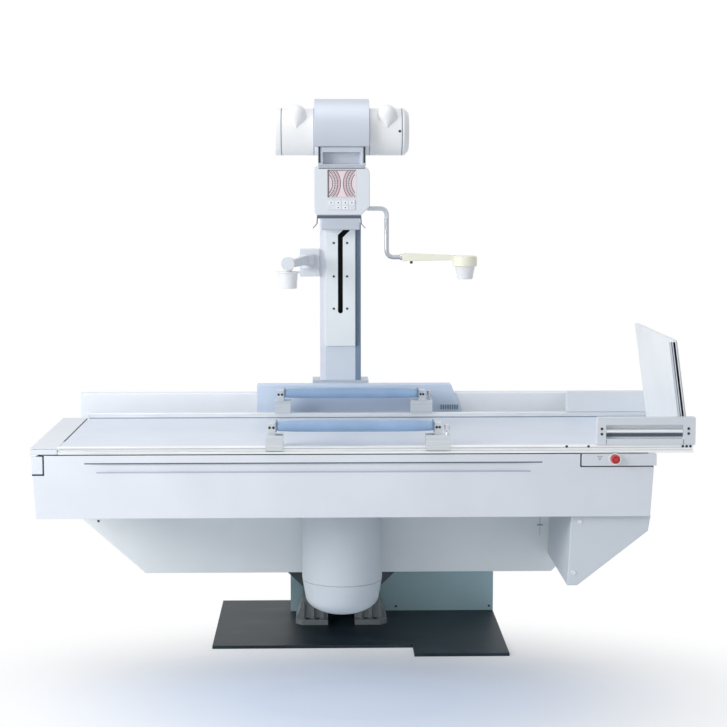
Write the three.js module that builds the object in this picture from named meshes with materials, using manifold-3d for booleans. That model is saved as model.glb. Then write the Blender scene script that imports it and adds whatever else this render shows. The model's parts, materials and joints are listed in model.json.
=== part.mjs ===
// Tilting radiography table with an over-table X-ray tube on a travelling tower.
// Millimetres, +Z up. +X runs to the foot end, +Y to the rear where the tower stands.
// The parts are drawn from the middle line of the tabletop, and the whole is then moved forwards, so that
// the origin lies on the floor under the tilt axis, at the middle of the cast stand.
import * as THREE from 'three';
import { mergeVertices } from 'three/addons/utils/BufferGeometryUtils.js';
import Module from 'manifold-3d';

const wasm = await Module();
wasm.setup();

// Fits
const GAP = 0.3;
const RUN = 0.5;
const PAST = 5;
const LAP = 1;
const EDGE = 3;

// Widths that the rest hangs on: the tabletop, and how far behind its edge the beam, stand and tower stand
const TABLE_W = 750;
const HALF_W = TABLE_W / 2;
const BEAM_INSET = 85;
const BEAM_D = 135;
const BEAM_BACK = HALF_W - BEAM_INSET;
const BEAM_FRONT = BEAM_BACK - BEAM_D;
const STAND_INSET = 33;
const STAND_D = 158;
const STAND_FRONT = HALF_W - STAND_INSET;
const STAND_BACK = STAND_FRONT + STAND_D;
const TOWER_RAIL_AWAY = 81;
const TOWER_RAIL_D = 54;
const TOWER_RAIL_FRONT = HALF_W + TOWER_RAIL_AWAY;
const TOWER_RAIL_BACK = TOWER_RAIL_FRONT + TOWER_RAIL_D;
const COLUMN_AWAY = 6;
const COLUMN_FRONT = TOWER_RAIL_BACK + COLUMN_AWAY;

// Floor plate and base
const PLATE_T = 12;
const PLATE_LEFT = -480;
const PLATE_RIGHT = 608;
const PLATE_STEP_X = 261;
const PLATE_FRONT_LEFT = 25;
const PLATE_FRONT_RIGHT = -92;
const HOUSING_LEFT = -200;
const HOUSING_AWAY = 20;
const HOUSING_D = 180;
const HOUSING_FRONT = STAND_BACK + HOUSING_AWAY;
const PLATE_BACK = HOUSING_FRONT + HOUSING_D;
const HOUSING_TOP = 330;
const HOUSING_WALL = 4;

// Tilt axis, its stand and its gears
const PIVOT_Z = 250;
const STAND_R = 150;
const STAND_FOOT_HALF = 176;
const STAND_FOOT_IN = 52;
const STAND_TOE_L = 36;
const STAND_TOE_CHAMFER = 24;
const STAND_RIB_W = 14;
const STAND_RIB_D = 10;
const STAND_RIB_H = 84;
const STAND_RIB_X = [74, 112, 150];
const STAND_FOOT_H = 76;
const STAND_FOOT_T = 20;
const STAND_ARCH = 20;
const AXLE_R = 55;
const BEARING_R = 131;
const BEARING_T = 12;
const GEAR_MODULE = 5;
const GEAR_TEETH = 48;
const PINION_TEETH = 12;
const GEAR_T = 14;
const GEAR_CLEAR = 2;
const TEETH_PLAY = 0.6;
const PINION_SHAFT_SHARE = 0.6;
const MOTOR_R = 62;
const MOTOR_L = 150;
const MOTOR_FOOT_IN = 25;
const MOTOR_FOOT_UP = 31;

// Saddle that tilts and carries the sliding table body
const SADDLE_HALF = 208;
const SADDLE_TOP = 362;
const SADDLE_TOP_HALF = 120;
const SADDLE_LOW = 86;
const SADDLE_T = 14;
const SADDLE_CLEAR = 1;
const SADDLE_SIDE_LOW = 30;
const SADDLE_SIDE_TOP = 60;
const SHIFT_RAIL_H = 20;
const SHIFT_RAIL_T = 9;
const SHIFT_RAIL_AT = { lower: 270, upper: 325 };
const SHIFT_RAIL_SHORT = { lower: [41, 49], upper: [10, 10] };
const SHIFT_BLOCK_L = 110;
const SHIFT_BLOCK_H = 44;
const SHIFT_BLOCK_T = 21;

// Table body
const BODY_LEFT = -1061;
const BODY_RIGHT = 1068;
const BODY_TOP = 790;
const BODY_LOW = 572;
const BODY_DRAFT = 13;
const COVER_T = 9;
const END_COVER_DOWN = 4;
const END_COVER_TOP = BODY_TOP - END_COVER_DOWN;
const DOOR_CLEAR = { front: 2, back: 4 };
const BEAM_TOP = 618;
const BEAM_LOW = 256;
const BEAM_LEFT_IN = 76;
const BEAM_RIGHT_OUT = 17;
const BEAM_LEFT = BODY_LEFT + BEAM_LEFT_IN;
const BEAM_RIGHT = BODY_RIGHT + BEAM_RIGHT_OUT;
const BEAM_SLOPE_Z = { left: 478, right: 565 };
const BEAM_FLAT_LEFT = -736;
const BEAM_FLAT_RIGHT = 790;
const BEAM_WALL = 6;
const BEAM_BACK_WALL = 34;
const FRONT_BEAM_INSET = 30;
const FRONT_BEAM_Y = -HALF_W + FRONT_BEAM_INSET;
const FRONT_BEAM_W = 45;
const FRONT_BEAM_LOW = 620;
const FRONT_BEAM_TOP = 700;
const FRAME_T = 51;
const FRAME_DOWN = 10;
const FRAME_TOP = BODY_TOP - FRAME_DOWN;
const TOWER_RAIL_LOW = 740;
const TOWER_RAIL_TOP = 898;
const TOWER_RAIL_END = 47;
const GROOVE_HEAD_IN = 177;
const GROOVE_FOOT_IN = 384;
const GROOVE_LEFT = BODY_LEFT + GROOVE_HEAD_IN;
const GROOVE_RIGHT = BODY_RIGHT - GROOVE_FOOT_IN;
const GROOVE_DOWN = 28;
const GROOVE_H = 30;
const GROOVE_TOP = BODY_TOP - GROOVE_DOWN;
const GROOVE_LOW = GROOVE_TOP - GROOVE_H;
const GROOVE_DEPTH = 5;
const GROOVE_RUNOUT = 90;
const PANEL_L = 252;
const PANEL_LEFT = BODY_RIGHT - PANEL_L;
const PANEL_H = 40;
const PANEL_LOW = BODY_TOP - PANEL_H;
const PANEL_OUT = 10;
const PANEL_SHADOW = 5;
const PANEL_END = 4;
const CORNER_L = 40;
const CORNER_H = 64;
const CORNER_D = 15;
const CORNER_SHADOW = 5;
const BUTTON_IN = 113;
const BUTTON_X = PANEL_LEFT + BUTTON_IN;
const BUTTON_DOWN = 16;
const BUTTON_Z = BODY_TOP - BUTTON_DOWN;
const BUTTON_R = 15;
const BUTTON_OUT = 20;
const BUTTON_STEM_R = 8;
const BUTTON_WELL = 12;
const BUTTON_TRAVEL = 8;
const FOOT_BOX_IN = 8;
const FOOT_BOX_L = 285;
const FOOT_BOX_RIGHT = BODY_RIGHT - FOOT_BOX_IN;
const FOOT_BOX_LEFT = FOOT_BOX_RIGHT - FOOT_BOX_L;
const FOOT_BOX_LOW = 325;
const FOOT_BOX_FLAT = 35;
const FOOT_BOX_SHOULDER = 516;
const FOOT_BOX_LEAN = 14;
const FOOT_BOX_SET = 14;
const FOOT_BOX_TUCK = 6;

// Tabletop and what rides on it
const TOP_UP = 25;
const TOP_Z = BODY_TOP + TOP_UP;
const TOP_T = 18;
const TOP_SHORT = 5;
const TOP_OVERHANG_HEAD = 6;
const TOP_OVERHANG_FOOT = 132;
const TOP_LEFT = BODY_LEFT - TOP_OVERHANG_HEAD;
const TOP_CAP_L = 97;
const HEAD_SLIDE_IN = 30;
const HEAD_SLIDE_SIDE = 80;
const TOP_RIGHT = BODY_RIGHT + TOP_OVERHANG_FOOT;
const RAIL_W = 25;
const RAIL_CLEAR = 3;
const RAIL_LOW = BODY_TOP + RAIL_CLEAR;
const FRONT_RAIL_UP = 4;
const REAR_RAIL_UP = 19;
const FRONT_RAIL_TOP = TOP_Z + FRONT_RAIL_UP;
const REAR_RAIL_TOP = TOP_Z + REAR_RAIL_UP;
const RAIL_SLOT = 7;
const RAIL_SLOT_HALF = 4;
const BRACKET_L = 332;
const BRACKET_LEFT = TOP_RIGHT - BRACKET_L;
const BRACKET_UP = 100;
const BRACKET_TOP = TOP_Z + BRACKET_UP;
const BRACKET_POST_A = 31;
const BRACKET_POST_B = 40;
const BRACKET_BAR = 26;
const BRACKET_FOOT = 22;
const BRACKET_T = 28;
const BRACKET_WALL = 8;
const BRACKET_PAST = 6;
const BRACKET_CORNER = 5;
const BOARD_H = 362;
const BOARD_T = 16;
const BOARD_LEAN = 8;
const BOARD_IN = 8;
const PAD_LEFT = { near: -230, far: -218 };
const PAD_L = { near: 542, far: 514 };
const PAD_H = 36;
const PAD_W = 70;
const PAD_OUT = 4;
const PAD_ROUND = 16;
const PAD_END = 6;
const PAD_UP = { near: 53, far: 79 };
const CLAMP_L = { head: 60, foot: 84 };
const CLAMP_PAST = { head: 8, foot: 28 };
const CLAMP_UNDER_PAD = 10;
const CLAMP_LIP = 10;
const CLAMP_LIP_DROP = 14;
const CLAMP_POST = 26;
const CLAMP_REACH = 14;
const CLAMP_STUB_HALF = 18;
const CLAMP_STUB_DOWN = 6;

// Tower with the imaging unit under the tabletop
const CARRIAGE_HALF = 230;
const CARRIAGE_LOW = 702;
const CARRIAGE_T = 28;
const CARRIAGE_SET = 4;
const REAR_COVER_DOWN = 12;
const REAR_COVER_TOP = CARRIAGE_LOW - REAR_COVER_DOWN;
const DETECTOR_HALF = 215;
const DETECTOR_FRONT = -220;
const DETECTOR_BACK = 215;
const DETECTOR_DOWN = 5;
const DETECTOR_CORNER = 20;
const DETECTOR_TOP = BODY_TOP - DETECTOR_DOWN;
const DRUM_CLEAR = 9;
const DRUM_R = BEAM_FRONT - DRUM_CLEAR;
const DRUM_SEAM_Z = 272;
const DRUM_LOW_Z = 143;
const DRUM_CORNER_Z = 212;
const DRUM_CORNER_IN = 11;
const COLUMN_W = 160;
const COLUMN_D = 120;
const COLUMN_FOOT_Z = 941;
const COLUMN_TOP_Z = 1990;
const COLUMN_PLATE_T = 10;
const COLUMN_PLATE_HALF = 58;
const COLUMN_PLATE_LOW = 1076;
const COLUMN_PLATE_TOP = 1980;
const SLOT_W = 19;
const SLOT_LOW = 1204;
const SLOT_BEND = 1500;
const SLOT_JOG = 26;
const SLOT_DEPTH = 60;
const SLOT_ROOM = 6;
const COLUMN_GROOVE = { first: 18, pitch: 9, width: 4 };
const TOWER_COVER_LEFT = -325;
const TOWER_COVER_RIGHT = 485;
const TOWER_COVER_SLANT = 55;
const TOWER_COVER_LOW = 790;
const TOWER_COVER_TOP = 930;
const TOWER_COVER_T = 10;
const TOWER_COVER_CLEAR = 1;
const TOWER_BASE_HALF = 110;

// X-ray tube, its arm and the collimator
const TUBE_Z = 1892;
const TUBE_R = 83;
const TUBE_HALF = 213;
const TUBE_CAP_L = 25;
const TUBE_CAP_CHAMFER = { left: 4, right: 16 };
const YOKE_R = 116;
const YOKE_HALF = 97;
const YOKE_DROP = 54;
const YOKE_LOW = TUBE_Z - YOKE_DROP;
const HORN_X = 160;
const HORN_R = 36;
const HORN_L = 55;
const HORN_TIP_Z = 8;
const HORN_TURN = 64;
const ARM_HALF = 60;
const ARM_HALF_H = 50;
const LIFT_HALF = 74;
const LIFT_DROP = 360;
const LIFT_RISE = 68;
const LIFT_LOW = TUBE_Z - LIFT_DROP;
const LIFT_TOP = TUBE_Z + LIFT_RISE;
const LIFT_D = 86;
const NECK_HALF = 84;
const NECK_Y = 92;
const NECK_CHEEK = 18;
const NECK_POCKET_D = 36;
const NECK_BAR_H = 20;
const NECK_SILL = 8;
const HEAD_HALF = 98;
const HEAD_FRONT = -108;
const HEAD_BACK = 92;
const NECK_H = 69;
const HEAD_H = 170;
const HEAD_TOP = YOKE_LOW - NECK_H;
const HEAD_LOW = HEAD_TOP - HEAD_H;
const HEAD_CORNER = 26;
const HEAD_CHAMFER = 30;
const HEAD_BREAK = 6;
const HEAD_EDGE = 4;
const HEAD_LIP_H = 12;
const HEAD_LIP_IN = 30;
const CLIP_H = 46;
const CLIP_T = 4;
const CLIP_FLARE = 16;
const DIAL_HALF = 50;
const DIAL_DOWN = 12;
const DIAL_H = 96;
const DIAL_TOP = HEAD_TOP - DIAL_DOWN;
const DIAL_LOW = DIAL_TOP - DIAL_H;
const DIAL_T = 6;
const DIAL_SUNK = 4;
const KEYS_UP = 18;
const KEYS_H = 38;
const KEYS_HALF = 48;
const KEYS_OUT = 2;
const KEYS_LOW = HEAD_LOW + KEYS_UP;
const KEYS_TOP = KEYS_LOW + KEYS_H;

// Compression paddle on the collimator and compressor on the column
const PADDLE_PIVOT_X = 160;
const PADDLE_PIVOT_Y = -40;
const PADDLE_TUBE_R = 8;
const PADDLE_BEND = 26;
const PADDLE_UP = 22;
const PADDLE_ELBOW_H = 33;
const PADDLE_DROP = 173;
const PADDLE_TOP_Z = HEAD_LOW + PADDLE_UP;
const PADDLE_SEAM_Z = PADDLE_TOP_Z - PADDLE_ELBOW_H;
const PADDLE_LOW_Z = PADDLE_TOP_Z - PADDLE_DROP;
const PADDLE_PIN_R = 4.5;
const PADDLE_PIN_L = 6;
const PADDLE_ARM_X = 216;
const PADDLE_ARM_W = 28;
const PADDLE_ARM_H = 29;
const PADDLE_HEAD_X = 440;
const PADDLE_HEAD_R = 43;
const PADDLE_HEAD_DROP = 33;
const PADDLE_HEAD_LOW = PADDLE_LOW_Z - PADDLE_HEAD_DROP;
const PADDLE_HEAD_H = 38;
const PADDLE_HEAD_ROUND = 7;
const PADDLE_CONE_TOP_R = 36;
const PADDLE_CONE_LOW_R = 27;
const PADDLE_CONE_H = 45;
const SWING_X = -128;
const SWING_AWAY = 46;
const SWING_Y = COLUMN_FRONT - SWING_AWAY;
const SWING_HUB_R = 26;
const SWING_EAR_R = 22;
const SWING_EAR_H = 14;
const SWING_SIDE = 4;
const SWING_BLOCK_D = 90;
const CUP_X = -196;
const CUP_Y = 130;
const CUP_R = 36;
const CUP_H = 62;
const CUP_TAPER = 4;
const CUP_FLANGE_R = 44;
const CUP_FLANGE_T = 5;
const CUP_TOP = 1388;
const SWING_LOW = 1396;
const SWING_H = 40;
const SWING_T = 16;
const SWING_TAPER = 10;
const SWING_EASE = 2;
const SWING_BOSS_R = 19;
const SWING_KNOB_R = 24;
const SWING_KNOB_L = 20;
const SWING_PIN_R = 9;
const CUP_STEM_R = 14;
const BRACKET_BLOCK_LOW = 1349;
const BRACKET_BLOCK_TOP = 1454;

const ROUND = 40;

// Shape helpers
function outline(points) {
  const shape = new THREE.Shape();
  points.forEach(([a, b], i) => (i === 0 ? shape.moveTo(a, b) : shape.lineTo(a, b)));
  shape.closePath();
  return shape;
}

function rounded(a0, b0, a1, b1, r) {
  const shape = new THREE.Shape();
  shape.moveTo(a0 + r, b0);
  shape.lineTo(a1 - r, b0);
  shape.absarc(a1 - r, b0 + r, r, -Math.PI / 2, 0);
  shape.lineTo(a1, b1 - r);
  shape.absarc(a1 - r, b1 - r, r, 0, Math.PI / 2);
  shape.lineTo(a0 + r, b1);
  shape.absarc(a0 + r, b1 - r, r, Math.PI / 2, Math.PI);
  shape.lineTo(a0, b0 + r);
  shape.absarc(a0 + r, b0 + r, r, Math.PI, 1.5 * Math.PI);
  return shape;
}

function extrude(shape, depth, bevel, segments) {
  const options = { depth: depth - 2 * bevel, bevelEnabled: bevel > 0, curveSegments: segments };
  if (bevel > 0) {
    Object.assign(options, { bevelSize: bevel, bevelThickness: bevel, bevelOffset: -bevel,
      bevelSegments: 2 });
  }
  const geometry = new THREE.ExtrudeGeometry(shape, options);
  return geometry.translate(0, 0, bevel);
}

// A shape in the XZ plane, run along Y from y0 to y1.
function alongY(shape, y0, y1, bevel = 0, segments = 8) {
  return extrude(shape, y1 - y0, bevel, segments).rotateX(Math.PI / 2).translate(0, y1, 0);
}

// A shape in the YZ plane, run along X from x0 to x1.
function alongX(shape, x0, x1, bevel = 0, segments = 8) {
  const turn = new THREE.Matrix4().makeBasis(
    new THREE.Vector3(0, 1, 0), new THREE.Vector3(0, 0, 1), new THREE.Vector3(1, 0, 0));
  return extrude(shape, x1 - x0, bevel, segments).applyMatrix4(turn).translate(x0, 0, 0);
}

// A shape in the XY plane, run along Z from z0 to z1.
function alongZ(shape, z0, z1, bevel = 0, segments = 8) {
  return extrude(shape, z1 - z0, bevel, segments).translate(0, 0, z0);
}

function block(x0, x1, y0, y1, z0, z1) {
  return new THREE.BoxGeometry(x1 - x0, y1 - y0, z1 - z0)
    .translate((x0 + x1) / 2, (y0 + y1) / 2, (z0 + z1) / 2);
}

function rodY(x, z, r, y0, y1, sides = ROUND) {
  return new THREE.CylinderGeometry(r, r, y1 - y0, sides).translate(x, (y0 + y1) / 2, z);
}

function rodX(y, z, r, x0, x1, sides = ROUND) {
  return new THREE.CylinderGeometry(r, r, x1 - x0, sides).rotateZ(Math.PI / 2)
    .translate((x0 + x1) / 2, y, z);
}

function rodZ(x, y, r, z0, z1, sides = ROUND) {
  return new THREE.CylinderGeometry(r, r, z1 - z0, sides).rotateX(Math.PI / 2)
    .translate(x, y, (z0 + z1) / 2);
}

// A profile of [radius, height] points turned about the vertical line through x, y.
function turned(profile, x, y, sides = ROUND) {
  const points = profile.map(([r, z]) => new THREE.Vector2(r, z));
  return new THREE.LatheGeometry(points, sides).rotateX(Math.PI / 2).translate(x, y, 0);
}

// Joins and cuts
function solid(geometry) {
  const bare = geometry.clone();
  bare.deleteAttribute('normal');
  bare.deleteAttribute('uv');
  const merged = mergeVertices(bare, 1e-4);
  const vertProperties = new Float32Array(merged.attributes.position.array);
  const triVerts = new Uint32Array(merged.index.array);
  return new wasm.Manifold(new wasm.Mesh({ numProp: 3, vertProperties, triVerts }));
}

function surface(body) {
  const mesh = body.getMesh();
  const geometry = new THREE.BufferGeometry();
  geometry.setAttribute('position', new THREE.BufferAttribute(new Float32Array(mesh.vertProperties), 3));
  geometry.setIndex(new THREE.BufferAttribute(new Uint32Array(mesh.triVerts), 1));
  geometry.computeVertexNormals();
  return geometry;
}

function cut(geometry, ...tools) {
  return surface(tools.reduce((body, tool) => body.subtract(solid(tool)), solid(geometry)));
}

function join(geometry, ...more) {
  return surface(more.reduce((body, piece) => body.add(solid(piece)), solid(geometry)));
}

// Finishes
function finish(color, roughness, metalness) {
  return new THREE.MeshStandardMaterial({ color, roughness, metalness });
}

const WHITE_ENAMEL = finish('#e6ebf0', 0.45, 0.0);
const PALE_ENAMEL = finish('#d3dce4', 0.45, 0.0);
const BLUE_GREY = finish('#b3bfcd', 0.4, 0.2);
const DARK_TEAL = finish('#5f787e', 0.55, 0.1);
const BLACK_STEEL = finish('#24323b', 0.5, 0.4);
const GREY_CAST = finish('#8d8f8e', 0.7, 0.3);
const ALUMINIUM = finish('#c9d0d6', 0.35, 0.8);
const STEEL = finish('#a8adb2', 0.3, 0.9);
const DARK_GREY = finish('#5a6469', 0.6, 0.2);
const BLUE_VINYL = finish('#7fa6dc', 0.55, 0.0);
const CREAM = finish('#e9e6cf', 0.5, 0.0);
const CLEAR_WHITE = finish('#eef0f0', 0.3, 0.0);
const RED = finish('#d8433a', 0.4, 0.0);
const DIAL_FACE = finish('#e9dfdf', 0.5, 0.0);

const object = new THREE.Group();

function piece(name, geometry, material) {
  const mesh = new THREE.Mesh(geometry, material);
  mesh.name = name;
  object.add(mesh);
}

// Gear of straight-sided teeth about a line along Y.
function gearOutline(teeth, phase) {
  const pitch = GEAR_MODULE * teeth / 2;
  const root = pitch - 1.25 * GEAR_MODULE;
  const tip = pitch + 0.85 * GEAR_MODULE;
  const step = 2 * Math.PI / teeth;
  const points = [];
  for (let i = 0; i < teeth; i += 1) {
    const middle = phase + i * step;
    const corners = [[root, -0.36], [tip, -0.12], [tip, 0.12], [root, 0.36]];
    corners.forEach(([r, share]) => {
      points.push([r * Math.cos(middle + share * step), r * Math.sin(middle + share * step)]);
    });
  }
  return outline(points);
}

// Base: floor plate, cast stand, bearing ring, drive housing and motor
const GEAR_R = GEAR_MODULE * GEAR_TEETH / 2;
const PINION_R = GEAR_MODULE * PINION_TEETH / 2;
const PINION_X = GEAR_R + PINION_R + TEETH_PLAY;
const PINION_SHAFT_R = PINION_R * PINION_SHAFT_SHARE;
const GEAR_FRONT = STAND_BACK + GEAR_CLEAR;
const GEAR_BACK = GEAR_FRONT + GEAR_T;

function buildBase() {
  piece('base_plate', alongZ(outline([
    [PLATE_LEFT, PLATE_FRONT_LEFT], [PLATE_STEP_X, PLATE_FRONT_LEFT], [PLATE_STEP_X, PLATE_FRONT_RIGHT],
    [PLATE_RIGHT, PLATE_FRONT_RIGHT], [PLATE_RIGHT, PLATE_BACK], [PLATE_LEFT, PLATE_BACK],
  ]), 0, PLATE_T), BLACK_STEEL);

  const floor = PLATE_T + GAP;
  const stand = new THREE.Shape();
  stand.moveTo(STAND_FOOT_IN, floor);
  stand.lineTo(STAND_FOOT_HALF, floor);
  stand.lineTo(STAND_FOOT_HALF, floor + STAND_FOOT_T);
  stand.lineTo(STAND_R, floor + STAND_FOOT_H);
  stand.lineTo(STAND_R, PIVOT_Z);
  stand.absarc(0, PIVOT_Z, STAND_R, 0, Math.PI);
  stand.lineTo(-STAND_R, floor + STAND_FOOT_H);
  stand.lineTo(-STAND_FOOT_HALF, floor + STAND_FOOT_T);
  stand.lineTo(-STAND_FOOT_HALF, floor);
  stand.lineTo(-STAND_FOOT_IN, floor);
  stand.lineTo(-STAND_FOOT_IN, floor + STAND_FOOT_H - STAND_ARCH);
  stand.lineTo(STAND_FOOT_IN, floor + STAND_FOOT_H - STAND_ARCH);
  const bore = rodY(0, PIVOT_Z, AXLE_R + RUN, STAND_FRONT - PAST, STAND_BACK + PAST);
  const toe = (side) => alongZ(outline([
    [side * STAND_FOOT_IN, STAND_FRONT + LAP], [side * STAND_FOOT_IN, STAND_FRONT - STAND_TOE_L],
    [side * (STAND_FOOT_HALF - STAND_TOE_CHAMFER), STAND_FRONT - STAND_TOE_L],
    [side * STAND_FOOT_HALF, STAND_FRONT - STAND_TOE_L + STAND_TOE_CHAMFER],
    [side * STAND_FOOT_HALF, STAND_FRONT + LAP],
  ]), floor, floor + STAND_FOOT_T);
  const rib = outline([
    [STAND_FRONT - STAND_RIB_D, floor + LAP], [STAND_FRONT + LAP, floor + LAP],
    [STAND_FRONT + LAP, floor + STAND_RIB_H],
    [STAND_FRONT - STAND_RIB_D / 2, floor + STAND_RIB_H], [STAND_FRONT - STAND_RIB_D,
    floor + STAND_RIB_H - STAND_RIB_D],
  ]);
  const toes = [-1, 1].flatMap((side) => [toe(side), ...STAND_RIB_X.map((x) => alongX(
    rib, side * x - STAND_RIB_W / 2, side * x + STAND_RIB_W / 2))]);
  piece('pivot_stand', cut(join(alongY(stand, STAND_FRONT, STAND_BACK, 0, 20), ...toes), bore), GREY_CAST);

  const ring = new THREE.Shape();
  ring.absarc(0, PIVOT_Z, BEARING_R, 0, 2 * Math.PI);
  const hole = new THREE.Path();
  hole.absarc(0, PIVOT_Z, AXLE_R + RUN, 0, 2 * Math.PI);
  ring.holes.push(hole);
  piece('pivot_bearing', alongY(ring, STAND_FRONT - GAP - BEARING_T, STAND_FRONT - GAP, 0, ROUND), GREY_CAST);

  const inside = block(HOUSING_LEFT + HOUSING_WALL, PLATE_RIGHT - HOUSING_WALL,
    HOUSING_FRONT + HOUSING_WALL, PLATE_BACK - HOUSING_WALL, 0, HOUSING_TOP - HOUSING_WALL);
  const port = rodY(PINION_X, PIVOT_Z, PINION_SHAFT_R + GEAR_CLEAR, HOUSING_FRONT - PAST,
    HOUSING_FRONT + HOUSING_WALL + PAST);
  piece('drive_housing', cut(
    block(HOUSING_LEFT, PLATE_RIGHT, HOUSING_FRONT, PLATE_BACK, floor, HOUSING_TOP), inside, port),
      DARK_TEAL);

  const motorFront = HOUSING_FRONT + HOUSING_WALL + GAP;
  const motorFoot = block(PINION_X - MOTOR_R, PINION_X + MOTOR_R, motorFront + MOTOR_FOOT_IN,
    motorFront + MOTOR_L - MOTOR_FOOT_IN, floor, PIVOT_Z - MOTOR_FOOT_UP);
  piece('drive_motor', join(
    rodY(PINION_X, PIVOT_Z, MOTOR_R, motorFront, motorFront + MOTOR_L), motorFoot), DARK_GREY);
}

// Tilting saddle with its axle, gear and slide blocks
const SADDLE_BACK = STAND_FRONT - GAP - BEARING_T - SADDLE_CLEAR;

function buildSaddle() {
  const front = SADDLE_BACK - SADDLE_T;
  const plate = new THREE.Shape();
  plate.moveTo(SADDLE_HALF, PIVOT_Z - SADDLE_SIDE_LOW);
  plate.lineTo(SADDLE_HALF, PIVOT_Z + SADDLE_SIDE_TOP);
  plate.lineTo(SADDLE_TOP_HALF, PIVOT_Z + SADDLE_TOP);
  plate.lineTo(-SADDLE_TOP_HALF, PIVOT_Z + SADDLE_TOP);
  plate.lineTo(-SADDLE_HALF, PIVOT_Z + SADDLE_SIDE_TOP);
  plate.lineTo(-SADDLE_HALF, PIVOT_Z - SADDLE_SIDE_LOW);
  plate.lineTo(-STAND_R, PIVOT_Z - SADDLE_LOW);
  plate.absarc(0, PIVOT_Z, Math.hypot(STAND_R, SADDLE_LOW), Math.PI + Math.atan2(SADDLE_LOW, STAND_R),
    2 * Math.PI - Math.atan2(SADDLE_LOW, STAND_R));
  piece('tilt_saddle', alongY(plate, front, SADDLE_BACK, 0, 12), DARK_GREY);

  const axle = rodY(0, PIVOT_Z, AXLE_R, SADDLE_BACK + GAP, GEAR_BACK);
  const gear = alongY(gearOutline(GEAR_TEETH, 0), GEAR_FRONT, GEAR_BACK)
    .translate(0, 0, PIVOT_Z);
  piece('tilt_axle', join(axle, gear), STEEL);

  Object.entries(SHIFT_RAIL_AT).forEach(([which, height]) => {
    const z = PIVOT_Z + height + SHIFT_RAIL_H / 2;
    const body = block(-SHIFT_BLOCK_L / 2, SHIFT_BLOCK_L / 2, front - GAP - SHIFT_BLOCK_T, front - GAP,
      z - SHIFT_BLOCK_H / 2, z + SHIFT_BLOCK_H / 2);
    const way = block(-SHIFT_BLOCK_L, SHIFT_BLOCK_L, BEAM_BACK - PAST, BEAM_BACK + SHIFT_RAIL_T + RUN,
      z - SHIFT_RAIL_H / 2 - RUN, z + SHIFT_RAIL_H / 2 + RUN);
    piece(`${which}_shift_block`, cut(body, way), STEEL);
  });

  const phase = Math.PI - Math.PI / PINION_TEETH;
  const pinion = alongY(gearOutline(PINION_TEETH, phase), GEAR_FRONT, GEAR_BACK)
    .translate(PINION_X, 0, PIVOT_Z);
  const shaft = rodY(PINION_X, PIVOT_Z, PINION_SHAFT_R, GEAR_BACK - LAP, HOUSING_FRONT + HOUSING_WALL);
  piece('tilt_pinion', join(pinion, shaft), STEEL);
}

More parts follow.
